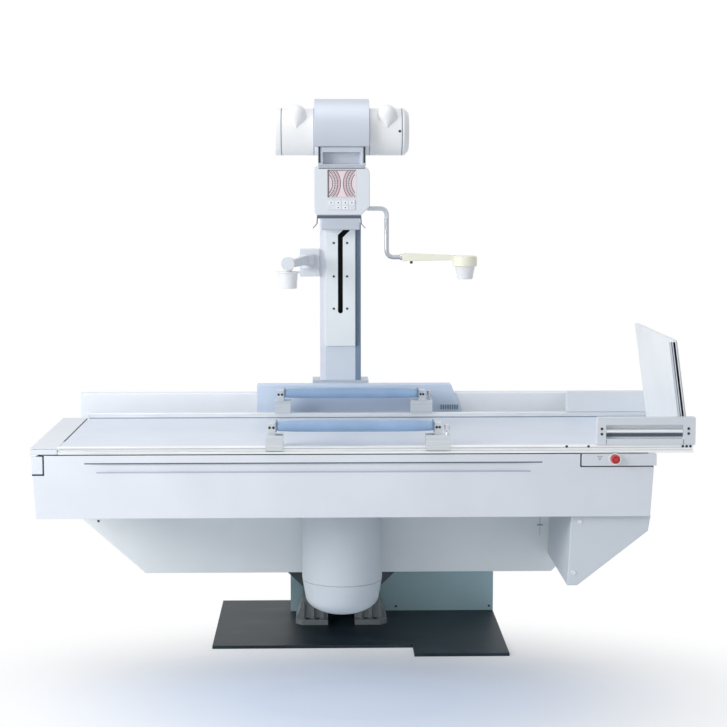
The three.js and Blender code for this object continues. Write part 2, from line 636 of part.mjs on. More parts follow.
// Table body: rear beam, covers, frames, tower rail, foot box and control panel
function buildBody() {
  const beamOutline = [
    [BEAM_LEFT, BEAM_TOP], [BEAM_LEFT, BEAM_SLOPE_Z.left], [BEAM_FLAT_LEFT, BEAM_LOW],
    [BEAM_FLAT_RIGHT, BEAM_LOW], [BEAM_RIGHT, BEAM_SLOPE_Z.right], [BEAM_RIGHT, BEAM_TOP],
  ];
  const hollow = [
    [BEAM_LEFT + BEAM_WALL, BEAM_TOP + 2 * PAST], [BEAM_LEFT + BEAM_WALL, BEAM_SLOPE_Z.left + BEAM_WALL / 2],
    [BEAM_FLAT_LEFT + BEAM_WALL / 2, BEAM_LOW + BEAM_WALL],
    [BEAM_FLAT_RIGHT - BEAM_WALL / 2, BEAM_LOW + BEAM_WALL],
    [BEAM_RIGHT - BEAM_WALL, BEAM_SLOPE_Z.right + BEAM_WALL / 2],
    [BEAM_RIGHT - BEAM_WALL, BEAM_TOP + 2 * PAST],
  ];
  const rails = Object.entries(SHIFT_RAIL_AT).map(([which, height]) => block(
    BEAM_LEFT + SHIFT_RAIL_SHORT[which][0], BEAM_RIGHT - SHIFT_RAIL_SHORT[which][1], BEAM_BACK - LAP,
      BEAM_BACK + SHIFT_RAIL_T, PIVOT_Z + height, PIVOT_Z + height + SHIFT_RAIL_H));
  piece('rear_beam', join(cut(
    alongY(outline(beamOutline), BEAM_FRONT, BEAM_BACK),
    alongY(outline(hollow), BEAM_FRONT + BEAM_WALL, BEAM_BACK - BEAM_BACK_WALL)), ...rails), PALE_ENAMEL);

  const face = -HALF_W;
  const skirt = alongY(outline([
    [BODY_LEFT, BODY_TOP], [BODY_LEFT + BODY_DRAFT, BODY_LOW],
    [BODY_RIGHT - BODY_DRAFT, BODY_LOW], [BODY_RIGHT, BODY_TOP],
  ]), face, face + COVER_T, 2);
  const groove = alongZ(outline([
    [GROOVE_LEFT, face - LAP], [GROOVE_RIGHT, face - LAP],
    [GROOVE_RIGHT - GROOVE_RUNOUT, face + GROOVE_DEPTH], [GROOVE_LEFT + GROOVE_RUNOUT, face + GROOVE_DEPTH],
  ]), GROOVE_LOW, GROOVE_TOP);
  const notch = block(PANEL_LEFT - PANEL_SHADOW, BODY_RIGHT + 2 * PAST, face - PAST, face + COVER_T + PAST,
    PANEL_LOW - PANEL_SHADOW, BODY_TOP + PAST);
  const cornerNotch = block(BODY_LEFT - PAST, BODY_LEFT + CORNER_L + CORNER_SHADOW, face - PAST,
    face + COVER_T + PAST, BODY_TOP - CORNER_H - CORNER_SHADOW, BODY_TOP + PAST);
  piece('front_cover', cut(skirt, groove, notch, cornerNotch), WHITE_ENAMEL);

  const endShape = outline([
    [face + COVER_T + GAP, BODY_LOW], [HALF_W, BODY_LOW], [HALF_W, END_COVER_TOP],
    [face + COVER_T + GAP, END_COVER_TOP],
  ]);
  const corner = block(BODY_LEFT, BODY_LEFT + CORNER_L, face, face + CORNER_D, BODY_TOP - CORNER_H,
    END_COVER_TOP);
  piece('head_end_cover', join(
    alongX(endShape, BODY_LEFT + BODY_DRAFT, BODY_LEFT + BODY_DRAFT + COVER_T), corner), WHITE_ENAMEL);
  const beamDoor = block(BODY_RIGHT - FRAME_T, BODY_RIGHT + PAST, BEAM_FRONT - DOOR_CLEAR.front,
    SADDLE_BACK + DOOR_CLEAR.back, BODY_LOW - PAST, BEAM_TOP + GAP);
  piece('foot_end_cover', cut(alongX(endShape,
    BODY_RIGHT - BODY_DRAFT - COVER_T, BODY_RIGHT - BODY_DRAFT), beamDoor), WHITE_ENAMEL);

  const headIn = BODY_LEFT + BODY_DRAFT + COVER_T + GAP;
  const footIn = BODY_RIGHT - BODY_DRAFT - COVER_T - GAP;
  const frame = outline([
    [FRONT_BEAM_Y, BEAM_TOP + GAP], [BEAM_BACK, BEAM_TOP + GAP], [TOWER_RAIL_FRONT - GAP, FRONT_BEAM_TOP],
    [TOWER_RAIL_FRONT - GAP, FRAME_TOP], [FRONT_BEAM_Y, FRAME_TOP],
  ]);
  const rearCut = block(headIn - PAST, footIn + PAST, HALF_W - COVER_T - GAP, HALF_W + GAP, BODY_LOW,
    REAR_COVER_TOP + GAP);
  piece('head_frame', cut(alongX(frame, headIn, headIn + FRAME_T), rearCut), ALUMINIUM);
  piece('foot_frame', cut(alongX(frame, footIn - FRAME_T, footIn), rearCut), ALUMINIUM);
  piece('front_beam', block(headIn + FRAME_T + GAP, footIn - FRAME_T - GAP, FRONT_BEAM_Y,
    FRONT_BEAM_Y + FRONT_BEAM_W, FRONT_BEAM_LOW, FRONT_BEAM_TOP), ALUMINIUM);
  piece('rear_cover', block(headIn, footIn, HALF_W - COVER_T, HALF_W, BODY_LOW, REAR_COVER_TOP),
    WHITE_ENAMEL);
  piece('tower_rail', block(BODY_LEFT + TOWER_RAIL_END, BODY_RIGHT - TOWER_RAIL_END, TOWER_RAIL_FRONT,
    TOWER_RAIL_BACK, TOWER_RAIL_LOW, TOWER_RAIL_TOP), PALE_ENAMEL);

  const boxTop = FRONT_BEAM_LOW - GAP;
  const boxBack = BEAM_FRONT - GAP;
  piece('foot_box', alongY(outline([
    [FOOT_BOX_LEFT + FOOT_BOX_LEAN, boxTop], [FOOT_BOX_LEFT, FOOT_BOX_LOW],
    [FOOT_BOX_LEFT + FOOT_BOX_FLAT, FOOT_BOX_LOW],
    [FOOT_BOX_RIGHT - FOOT_BOX_LEAN / 2, FOOT_BOX_SHOULDER], [BODY_RIGHT - FOOT_BOX_TUCK, BODY_LOW - GAP],
    [footIn - FRAME_T - FOOT_BOX_LEAN / 2, BODY_LOW - GAP], [footIn - FRAME_T - FOOT_BOX_LEAN / 2, boxTop],
  ]), face + COVER_T + FOOT_BOX_SET, boxBack, EDGE), WHITE_ENAMEL);

  const panel = block(PANEL_LEFT, BODY_RIGHT + PANEL_END, face - PANEL_OUT, face + COVER_T, PANEL_LOW,
    BODY_TOP);
  const well = rodY(BUTTON_X, BUTTON_Z, BUTTON_STEM_R + RUN, face - PANEL_OUT - PAST, face + BUTTON_WELL, 24);
  piece('control_panel', cut(panel, well), PALE_ENAMEL);

  const faceY = face - PANEL_OUT;
  const knob = rodY(BUTTON_X, BUTTON_Z, BUTTON_R, faceY - BUTTON_OUT, faceY - BUTTON_TRAVEL, 28);
  const stem = rodY(BUTTON_X, BUTTON_Z, BUTTON_STEM_R, faceY - BUTTON_TRAVEL - LAP, face, 24);
  piece('stop_button', join(knob, stem), RED);
}

// Tabletop with its rails, foot brackets, footboard and padded side rests
function buildTabletop() {
  const inner = HALF_W - RAIL_W - GAP;
  const left = TOP_LEFT + TOP_CAP_L + GAP;
  piece('tabletop_panel', block(left, TOP_RIGHT - TOP_SHORT, -inner, inner, TOP_Z - TOP_T, TOP_Z),
    WHITE_ENAMEL);
  const cap = alongX(rounded(-HALF_W, RAIL_LOW, HALF_W, TOP_Z, 4), TOP_LEFT, TOP_LEFT + TOP_CAP_L, 0, 3);
  const headSlide = block(BODY_LEFT + HEAD_SLIDE_IN, TOP_LEFT + TOP_CAP_L - EDGE, -HALF_W + HEAD_SLIDE_SIDE,
    HALF_W - HEAD_SLIDE_SIDE, FRAME_TOP + GAP, RAIL_LOW + LAP);
  piece('head_end_cap', join(cap, headSlide), PALE_ENAMEL);

  const slotZ = (RAIL_LOW + FRONT_RAIL_TOP) / 2;
  const profile = (top, side) => {
    const out = side * HALF_W;
    const inn = side * (HALF_W - RAIL_W);
    const deep = side * (HALF_W - RAIL_SLOT);
    const points = [[inn, RAIL_LOW], [out, RAIL_LOW], [out, slotZ - RAIL_SLOT_HALF],
      [deep, slotZ - RAIL_SLOT_HALF],
      [deep, slotZ + RAIL_SLOT_HALF], [out, slotZ + RAIL_SLOT_HALF], [out, top], [inn, top]];
    return outline(side > 0 ? points : points.reverse());
  };
  piece('front_rail', alongX(profile(FRONT_RAIL_TOP, -1), left, TOP_RIGHT), ALUMINIUM);
  piece('rear_rail', alongX(profile(REAR_RAIL_TOP, 1), left, TOP_RIGHT), ALUMINIUM);

  const bracket = (railTop, outY, inY) => {
    const low = railTop + GAP;
    const [y0, y1] = outY < inY ? [outY, inY] : [inY, outY];
    const body = alongY(rounded(BRACKET_LEFT, low, TOP_RIGHT + BRACKET_PAST, BRACKET_TOP, BRACKET_CORNER),
      y0, y1, 0, 3);
    const away = Math.sign(outY);
    const pocketIn = inY + away * BRACKET_WALL;
    const pocketOut = outY + away * PAST;
    return cut(body, block(BRACKET_LEFT + BRACKET_POST_A, TOP_RIGHT + BRACKET_PAST - BRACKET_POST_B,
      Math.min(pocketIn, pocketOut), Math.max(pocketIn, pocketOut), low + BRACKET_FOOT,
        BRACKET_TOP - BRACKET_BAR));
  };
  piece('near_foot_bracket', bracket(FRONT_RAIL_TOP, -HALF_W, -HALF_W + BRACKET_T), PALE_ENAMEL);
  piece('far_foot_bracket', bracket(REAR_RAIL_TOP, HALF_W, HALF_W - BRACKET_T), PALE_ENAMEL);

  const lean = Math.tan(THREE.MathUtils.degToRad(BOARD_LEAN));
  const foot = TOP_RIGHT - BOARD_IN;
  const low = TOP_Z + RUN;
  piece('footboard', alongY(outline([
    [foot - BOARD_T, low], [foot, low], [foot - lean * BOARD_H, low + BOARD_H],
    [foot - BOARD_T - lean * BOARD_H, low + BOARD_H],
  ]), -HALF_W + BRACKET_T + GAP, HALF_W - BRACKET_T - GAP, 2), WHITE_ENAMEL);

  buildPad('near', -1, FRONT_RAIL_TOP);
  buildPad('far', 1, REAR_RAIL_TOP);
}

function buildPad(which, side, railTop) {
  const middle = side * (HALF_W - PAD_W / 2 + PAD_OUT);
  const low = TOP_Z + PAD_UP[which];
  const left = PAD_LEFT[which];
  const right = left + PAD_L[which];
  const pad = alongX(rounded(middle - PAD_W / 2, low, middle + PAD_W / 2, low + PAD_H, PAD_ROUND), left,
    right, PAD_END, 5);
  piece(`${which}_side_pad`, pad, BLUE_VINYL);
  const clampTop = low - CLAMP_UNDER_PAD;
  const out = side * (HALF_W + CLAMP_LIP);
  const lipIn = side * (HALF_W + GAP);
  const inn = side * (HALF_W - RAIL_W - CLAMP_REACH);
  const span = (a, b) => [Math.min(a, b), Math.max(a, b)];
  const footEnd = right + CLAMP_POST + GAP + CLAMP_PAST.foot;
  [['head', left - CLAMP_POST - GAP, left - CLAMP_POST - GAP - CLAMP_PAST.head],
    ['foot', right + GAP, footEnd - CLAMP_L.foot]].forEach(([end, post, base]) => {
    const [y0, y1] = span(out, inn);
    const [l0, l1] = span(out, lipIn);
    const seat = block(base, base + CLAMP_L[end], y0, y1, railTop + GAP, clampTop);
    const lip = block(base, base + CLAMP_L[end], l0, l1, railTop - CLAMP_LIP_DROP, clampTop - LAP);
    const stub = block(post, post + CLAMP_POST, middle - CLAMP_STUB_HALF, middle + CLAMP_STUB_HALF,
      clampTop - LAP,
      low + PAD_H - CLAMP_STUB_DOWN);
    piece(`${which}_pad_clamp_${end}`, join(seat, lip, stub), ALUMINIUM);
  });
}

// Tower: carriage, imaging unit with its round drum, and column
function buildTower() {
  const back = COLUMN_FRONT + COLUMN_D;
  const deck = block(-CARRIAGE_HALF, CARRIAGE_HALF, FRONT_BEAM_Y + CARRIAGE_SET, back, CARRIAGE_LOW,
    CARRIAGE_LOW + CARRIAGE_T);
  const nose = block(-CARRIAGE_HALF, CARRIAGE_HALF, FRONT_BEAM_Y + CARRIAGE_SET,
    FRONT_BEAM_Y + FRONT_BEAM_W - CARRIAGE_SET, FRONT_BEAM_TOP + GAP, CARRIAGE_LOW + LAP);
  const runner = block(-CARRIAGE_HALF, CARRIAGE_HALF, BEAM_BACK - BEAM_BACK_WALL + CARRIAGE_SET,
    BEAM_BACK - CARRIAGE_SET, BEAM_TOP + GAP, CARRIAGE_LOW + LAP);
  const pedestal = block(-TOWER_BASE_HALF, TOWER_BASE_HALF, COLUMN_FRONT, back,
    CARRIAGE_LOW + LAP, COLUMN_FOOT_Z - GAP);
  piece('carriage', join(deck, nose, runner, pedestal), ALUMINIUM);
  piece('imaging_unit', alongZ(rounded(-DETECTOR_HALF, DETECTOR_FRONT, DETECTOR_HALF, DETECTOR_BACK,
    DETECTOR_CORNER), CARRIAGE_LOW + CARRIAGE_T + GAP, DETECTOR_TOP, 3, 3), DARK_GREY);

  piece('intensifier_drum', turned([
    [0, CARRIAGE_LOW - GAP], [DRUM_R, CARRIAGE_LOW - GAP], [DRUM_R, DRUM_SEAM_Z + EDGE],
    [DRUM_R - EDGE, DRUM_SEAM_Z + GAP], [0, DRUM_SEAM_Z + GAP],
  ].reverse(), 0, 0, 48), WHITE_ENAMEL);
  const cornerR = DRUM_R - DRUM_CORNER_IN;
  const dome = [];
  for (let i = 0; i <= 8; i += 1) {
    const angle = Math.PI / 2 * i / 8;
    dome.push([cornerR * Math.sin(angle), DRUM_CORNER_Z - (DRUM_CORNER_Z - DRUM_LOW_Z) * Math.cos(angle)]);
  }
  dome[0][0] = 0;
  piece('drum_cap', turned([...dome, [DRUM_R - LAP, DRUM_SEAM_Z - EDGE], [DRUM_R - EDGE, DRUM_SEAM_Z],
    [0, DRUM_SEAM_Z]],
    0, 0, 48), WHITE_ENAMEL);

  const cover = alongY(outline([
    [TOWER_COVER_LEFT, TOWER_COVER_LOW], [TOWER_COVER_RIGHT, TOWER_COVER_LOW],
    [TOWER_COVER_RIGHT - TOWER_COVER_SLANT, TOWER_COVER_TOP], [TOWER_COVER_LEFT, TOWER_COVER_TOP],
  ]), TOWER_RAIL_FRONT - TOWER_COVER_T, COLUMN_FRONT - GAP);
  const channel = block(TOWER_COVER_LEFT - PAST, TOWER_COVER_RIGHT + PAST,
    TOWER_RAIL_FRONT - TOWER_COVER_CLEAR,
    TOWER_RAIL_BACK + TOWER_COVER_CLEAR, TOWER_COVER_LOW - PAST, TOWER_RAIL_TOP + TOWER_COVER_CLEAR);
  piece('tower_cover', cut(cover, channel), PALE_ENAMEL);

  const half = COLUMN_W / 2;
  const tallBox = block(-half, half, COLUMN_FRONT, back, COLUMN_FOOT_Z, COLUMN_TOP_Z);
  const pocket = block(-SLOT_W / 2 - SLOT_ROOM, SLOT_W / 2 + SLOT_JOG + SLOT_ROOM, COLUMN_FRONT - PAST,
    COLUMN_FRONT + SLOT_DEPTH, SLOT_LOW - SLOT_ROOM, SLOT_BEND + SLOT_JOG + SLOT_W);
  const grooves = [0, 1].map((i) => {
    const x = half - COLUMN_GROOVE.first + i * COLUMN_GROOVE.pitch;
    return block(x, x + COLUMN_GROOVE.width, COLUMN_FRONT - PAST, COLUMN_FRONT + COLUMN_GROOVE.width,
      COLUMN_PLATE_LOW, COLUMN_PLATE_TOP);
  });
  piece('column', cut(tallBox, pocket, ...grooves), PALE_ENAMEL);
  const plate = outline([
    [-COLUMN_PLATE_HALF, COLUMN_PLATE_LOW], [COLUMN_PLATE_HALF, COLUMN_PLATE_LOW],
    [COLUMN_PLATE_HALF, COLUMN_PLATE_TOP], [-COLUMN_PLATE_HALF, COLUMN_PLATE_TOP],
  ]);
  const slot = new THREE.Path();
  const r = SLOT_W / 2;
  slot.moveTo(-r, SLOT_BEND + r);
  slot.lineTo(-r, SLOT_LOW + r);
  slot.absarc(0, SLOT_LOW + r, r, Math.PI, 2 * Math.PI);
  slot.lineTo(r, SLOT_BEND);
  slot.lineTo(r + SLOT_JOG, SLOT_BEND + SLOT_JOG);
  slot.lineTo(r + SLOT_JOG, SLOT_BEND + SLOT_JOG + r);
  slot.lineTo(r + SLOT_JOG - SLOT_W, SLOT_BEND + SLOT_JOG + r);
  slot.closePath();
  plate.holes.push(slot);
  piece('column_front_plate', alongY(plate, COLUMN_FRONT - GAP - COLUMN_PLATE_T, COLUMN_FRONT - GAP, 0, 6),
    WHITE_ENAMEL);
}

// X-ray tube on its lift arm
function buildTube() {
  const liftBack = COLUMN_FRONT - GAP - COLUMN_PLATE_T - GAP;
  const liftFront = liftBack - LIFT_D;
  const wide = 2 * TUBE_HALF;
  const yokeHole = rodX(0, TUBE_Z, YOKE_R + GAP, -wide, wide, 48);
  const arm = block(-ARM_HALF, ARM_HALF, YOKE_R / 2, liftFront + PAST, TUBE_Z - ARM_HALF_H,
    TUBE_Z + ARM_HALF_H);
  const lift = block(-LIFT_HALF, LIFT_HALF, liftFront, liftBack, LIFT_LOW, LIFT_TOP);
  piece('lift_arm', cut(join(arm, lift), yokeHole), BLUE_GREY);

  const band = rodX(0, TUBE_Z, YOKE_R, -YOKE_HALF, YOKE_HALF, 48);
  const seat = rodX(0, TUBE_Z, TUBE_R + GAP, -YOKE_HALF - PAST, YOKE_HALF + PAST, 48);
  const below = block(-wide, wide, -wide, wide, YOKE_LOW - wide, YOKE_LOW);
  piece('tube_yoke', cut(band, seat, below), BLUE_GREY);

  piece('tube_barrel', rodX(0, TUBE_Z, TUBE_R, -TUBE_HALF, TUBE_HALF, 48), WHITE_ENAMEL);
  [['left', -1], ['right', 1]].forEach(([which, side]) => {
    const chamfer = TUBE_CAP_CHAMFER[which];
    const profile = [[0, TUBE_HALF + GAP], [TUBE_R, TUBE_HALF + GAP],
      [TUBE_R, TUBE_HALF + TUBE_CAP_L - chamfer],
      [TUBE_R - chamfer, TUBE_HALF + TUBE_CAP_L], [0, TUBE_HALF + TUBE_CAP_L]];
    const cap = new THREE.LatheGeometry(profile.map(([r, x]) => new THREE.Vector2(r, x)), 48)
      .rotateZ(-side * Math.PI / 2).translate(0, 0, TUBE_Z);
    piece(`tube_cap_${which}`, cap, WHITE_ENAMEL);

    const tangent = Math.asin(HORN_R / HORN_L);
    const horn = [[0, 0]];
    for (let i = 0; i <= 10; i += 1) {
      const angle = -tangent + (Math.PI / 2 + tangent) * i / 10;
      horn.push([HORN_R * Math.cos(angle), HORN_L + HORN_R * Math.sin(angle)]);
    }
    horn[horn.length - 1][0] = 0;
    const stub = new THREE.LatheGeometry(horn.map(([r, h]) => new THREE.Vector2(r, h)), 28)
      .rotateX(THREE.MathUtils.degToRad(HORN_TURN))
      .translate(side * HORN_X, -Math.sqrt(TUBE_R ** 2 - HORN_TIP_Z ** 2), TUBE_Z + HORN_TIP_Z);
    const trim = rodX(0, TUBE_Z, TUBE_R + GAP, -wide, wide, 48);
    piece(`tube_horn_${which}`, cut(stub, trim), WHITE_ENAMEL);
  });

  const neck = block(-NECK_HALF, NECK_HALF, -NECK_Y, NECK_Y, HEAD_TOP + GAP, YOKE_LOW - GAP);
  const neckTop = YOKE_LOW - GAP;
  const handHold = block(-NECK_HALF + NECK_CHEEK, NECK_HALF - NECK_CHEEK, -NECK_Y - PAST,
    -NECK_Y + NECK_POCKET_D, HEAD_TOP + GAP + NECK_SILL, neckTop - NECK_BAR_H);
  piece('tube_neck', cut(neck, rodX(0, TUBE_Z, TUBE_R + GAP, -wide, wide, 48), handHold), PALE_ENAMEL);
}

// Collimator with its dial, keys and rails, and the swinging compression paddle
function buildCollimator() {
  const shell = new THREE.Shape();
  shell.moveTo(-HEAD_HALF + HEAD_CHAMFER / 3, HEAD_LOW);
  shell.lineTo(HEAD_HALF - HEAD_CHAMFER, HEAD_LOW);
  shell.lineTo(HEAD_HALF, HEAD_LOW + HEAD_CHAMFER);
  shell.lineTo(HEAD_HALF, HEAD_TOP - HEAD_CORNER);
  shell.absarc(HEAD_HALF - HEAD_CORNER, HEAD_TOP - HEAD_CORNER, HEAD_CORNER, 0, Math.PI / 2);
  shell.lineTo(-HEAD_HALF + HEAD_BREAK, HEAD_TOP);
  shell.lineTo(-HEAD_HALF, HEAD_TOP - HEAD_BREAK);
  shell.lineTo(-HEAD_HALF, HEAD_LOW + HEAD_CHAMFER / 3);
  const housing = alongY(shell, HEAD_FRONT, HEAD_BACK, HEAD_EDGE, 6);
  const dialFront = HEAD_FRONT + DIAL_SUNK;
  const dialPocket = block(-DIAL_HALF - GAP, DIAL_HALF + GAP, HEAD_FRONT - PAST, dialFront + DIAL_T + GAP,
    DIAL_LOW - GAP, DIAL_TOP + GAP);
  const keyPocket = block(-KEYS_HALF - GAP, KEYS_HALF + GAP, HEAD_FRONT - PAST, HEAD_FRONT + DIAL_T + GAP,
    KEYS_LOW - GAP, KEYS_TOP + GAP);
  const p = (x, z) => new THREE.Vector3(x, PADDLE_PIVOT_Y, z);
  const elbow = new THREE.CurvePath();
  elbow.add(new THREE.LineCurve3(p(HEAD_HALF - PADDLE_TUBE_R, PADDLE_TOP_Z),
    p(PADDLE_PIVOT_X - PADDLE_BEND, PADDLE_TOP_Z)));
  elbow.add(new THREE.QuadraticBezierCurve3(p(PADDLE_PIVOT_X - PADDLE_BEND, PADDLE_TOP_Z),
    p(PADDLE_PIVOT_X, PADDLE_TOP_Z),
    p(PADDLE_PIVOT_X, PADDLE_TOP_Z - PADDLE_BEND)));
  elbow.add(new THREE.LineCurve3(p(PADDLE_PIVOT_X, PADDLE_TOP_Z - PADDLE_BEND),
    p(PADDLE_PIVOT_X, PADDLE_SEAM_Z)));
  const section = new THREE.Shape();
  section.absarc(0, 0, PADDLE_TUBE_R, 0, 2 * Math.PI);
  const bent = new THREE.ExtrudeGeometry(section, { steps: 20, extrudePath: elbow, curveSegments: 6 });
  const pinHole = rodZ(PADDLE_PIVOT_X, PADDLE_PIVOT_Y, PADDLE_PIN_R + RUN, PADDLE_SEAM_Z - LAP,
    PADDLE_SEAM_Z + PADDLE_PIN_L + RUN, 16);
  piece('collimator_housing', cut(join(housing, bent), dialPocket, keyPocket, pinHole), PALE_ENAMEL);
  piece('dial_window', block(-DIAL_HALF, DIAL_HALF, dialFront, dialFront + DIAL_T, DIAL_LOW, DIAL_TOP),
    DIAL_FACE);
  piece('key_pad', block(-KEYS_HALF, KEYS_HALF, HEAD_FRONT - KEYS_OUT, HEAD_FRONT + DIAL_T, KEYS_LOW,
    KEYS_TOP), PALE_ENAMEL);

  const lipTop = HEAD_LOW - GAP;
  const lipLow = lipTop - HEAD_LIP_H;
  const lip = block(-HEAD_HALF + HEAD_LIP_IN / 3, HEAD_HALF - HEAD_LIP_IN, HEAD_FRONT + HEAD_EDGE,
    HEAD_BACK - HEAD_EDGE, lipLow, lipTop);
  const clips = [-1, 1].map((side) => {
    const x = side > 0 ? HEAD_HALF - HEAD_LIP_IN : -HEAD_HALF + HEAD_LIP_IN / 3;
    const low = lipTop - CLIP_H;
    const points = [[x - side * CLIP_T, lipTop - LAP], [x, lipTop - LAP],
      [x + side * CLIP_T / 2, low + CLIP_FLARE],
      [x + side * CLIP_FLARE, low], [x + side * (CLIP_FLARE - CLIP_T), low],
      [x - side * CLIP_T / 2, low + CLIP_FLARE]];
    return alongY(outline(side > 0 ? points.reverse() : points), HEAD_FRONT + HEAD_EDGE,
      HEAD_BACK - HEAD_EDGE);
  });
  piece('collimator_plate', join(lip, ...clips), ALUMINIUM);

  const path = new THREE.CurvePath();
  const tubeTop = PADDLE_SEAM_Z - GAP;
  path.add(new THREE.LineCurve3(p(PADDLE_PIVOT_X, tubeTop), p(PADDLE_PIVOT_X, PADDLE_LOW_Z + PADDLE_BEND)));
  path.add(new THREE.QuadraticBezierCurve3(p(PADDLE_PIVOT_X, PADDLE_LOW_Z + PADDLE_BEND),
    p(PADDLE_PIVOT_X, PADDLE_LOW_Z),
    p(PADDLE_PIVOT_X + PADDLE_BEND, PADDLE_LOW_Z)));
  path.add(new THREE.LineCurve3(p(PADDLE_PIVOT_X + PADDLE_BEND, PADDLE_LOW_Z),
    p(PADDLE_ARM_X - GAP, PADDLE_LOW_Z)));
  const pin = rodZ(PADDLE_PIVOT_X, PADDLE_PIVOT_Y, PADDLE_PIN_R, tubeTop - LAP,
    PADDLE_SEAM_Z + PADDLE_PIN_L, 16);
  piece('paddle_tube', join(
    new THREE.ExtrudeGeometry(section, { steps: 24, extrudePath: path, curveSegments: 6 }), pin), STEEL);

  const half = PADDLE_ARM_W / 2;
  const root = PADDLE_ARM_H / 2;
  const headTop = PADDLE_HEAD_LOW + PADDLE_HEAD_H;
  const bar = alongY(outline([
    [PADDLE_ARM_X, PADDLE_LOW_Z - root], [PADDLE_HEAD_X, headTop - root], [PADDLE_HEAD_X, headTop],
    [PADDLE_ARM_X + root / 2, PADDLE_LOW_Z + root], [PADDLE_ARM_X, PADDLE_LOW_Z + root - EDGE],
  ]), PADDLE_PIVOT_Y - half, PADDLE_PIVOT_Y + half, EDGE);
  const head = turned([
    [0, PADDLE_HEAD_LOW], [PADDLE_HEAD_R - EDGE, PADDLE_HEAD_LOW], [PADDLE_HEAD_R, PADDLE_HEAD_LOW + EDGE],
    [PADDLE_HEAD_R, headTop - PADDLE_HEAD_ROUND], [PADDLE_HEAD_R - 0.3 * PADDLE_HEAD_ROUND, headTop - EDGE],
    [PADDLE_HEAD_R - PADDLE_HEAD_ROUND, headTop], [0, headTop],
  ], PADDLE_HEAD_X, PADDLE_PIVOT_Y, 36);
  piece('paddle_arm', join(bar, head), CREAM);
  const coneTop = PADDLE_HEAD_LOW - GAP;
  piece('paddle_cone', turned([
    [0, coneTop - PADDLE_CONE_H], [PADDLE_CONE_LOW_R, coneTop - PADDLE_CONE_H],
    [PADDLE_CONE_TOP_R, coneTop], [0, coneTop],
  ], PADDLE_HEAD_X, PADDLE_PIVOT_Y, 32), CLEAR_WHITE);
}

// Compressor: block on the column side, swinging arm and cup
function buildCompressor() {
  const half = COLUMN_W / 2;
  const blockBody = block(SWING_X - SWING_HUB_R - SWING_SIDE, -half - GAP, SWING_Y + SWING_HUB_R + SWING_SIDE,
    COLUMN_FRONT + SWING_BLOCK_D, BRACKET_BLOCK_LOW, BRACKET_BLOCK_TOP);
  const earLow = block(SWING_X - SWING_EAR_R, SWING_X + SWING_EAR_R, SWING_Y,
    SWING_Y + SWING_HUB_R + SWING_SIDE + LAP, SWING_LOW - SWING_EAR_H, SWING_LOW - GAP);
  const pin = rodZ(SWING_X, SWING_Y, SWING_PIN_R, SWING_LOW - SWING_EAR_H, SWING_LOW + SWING_H, 20);
  const earHub = rodZ(SWING_X, SWING_Y, SWING_EAR_R, SWING_LOW - SWING_EAR_H, SWING_LOW - GAP, 28);
  piece('compressor_block', join(blockBody, earLow, earHub, pin), PALE_ENAMEL);

  const reach = new THREE.Vector2(CUP_X - SWING_X, CUP_Y - SWING_Y);
  const length = reach.length();
  const plate = alongY(outline([
    [0, SWING_LOW + SWING_EASE], [length, SWING_LOW + SWING_TAPER / 2],
    [length, SWING_LOW + SWING_H - SWING_TAPER],
    [0, SWING_LOW + SWING_H - SWING_EASE],
  ]), -SWING_T / 2, SWING_T / 2).rotateZ(Math.atan2(reach.y, reach.x)).translate(SWING_X, SWING_Y, 0);
  const hub = rodZ(SWING_X, SWING_Y, SWING_HUB_R, SWING_LOW, SWING_LOW + SWING_H, 28);
  const boss = rodZ(CUP_X, CUP_Y, SWING_BOSS_R, SWING_LOW, SWING_LOW + SWING_H, 28);
  const knobZ = SWING_LOW + SWING_H / 2 + SWING_EASE;
  const knobBack = CUP_Y - SWING_BOSS_R - SWING_EASE;
  const knob = rodY(CUP_X, knobZ, SWING_KNOB_R, knobBack - SWING_KNOB_L, knobBack, 28);
  const neck = rodY(CUP_X, knobZ, SWING_KNOB_R / 2, knobBack - SWING_EASE, CUP_Y, 20);
  const eye = rodZ(SWING_X, SWING_Y, SWING_PIN_R + RUN, SWING_LOW - PAST, SWING_LOW + SWING_H + PAST, 20);
  piece('compressor_arm', cut(join(plate, hub, boss, neck, knob), eye), PALE_ENAMEL);

  piece('compressor_cup', turned([
    [0, CUP_TOP - CUP_H], [CUP_R - CUP_TAPER, CUP_TOP - CUP_H], [CUP_R, CUP_TOP - CUP_FLANGE_T],
    [CUP_FLANGE_R, CUP_TOP - CUP_FLANGE_T], [CUP_FLANGE_R, CUP_TOP], [CUP_STEM_R, CUP_TOP],
    [CUP_STEM_R, SWING_LOW - GAP], [0, SWING_LOW - GAP],
  ], CUP_X, CUP_Y, 32), CLEAR_WHITE);
}

buildBase();
buildSaddle();
buildBody();
buildTabletop();
buildTower();
buildTube();
buildCollimator();
buildCompressor();

object.position.y = -(STAND_FRONT + STAND_BACK) / 2;

export default object;
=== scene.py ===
# %% [markdown]
# # A tilting radiography table
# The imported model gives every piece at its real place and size, in metres. This lesson gives those pieces
# their looks: rounded edges, enamel, metal and vinyl, and the small trim that the eye expects.

# %% Load the frame
import json
import math
import bpy
from mathutils import Matrix, Vector


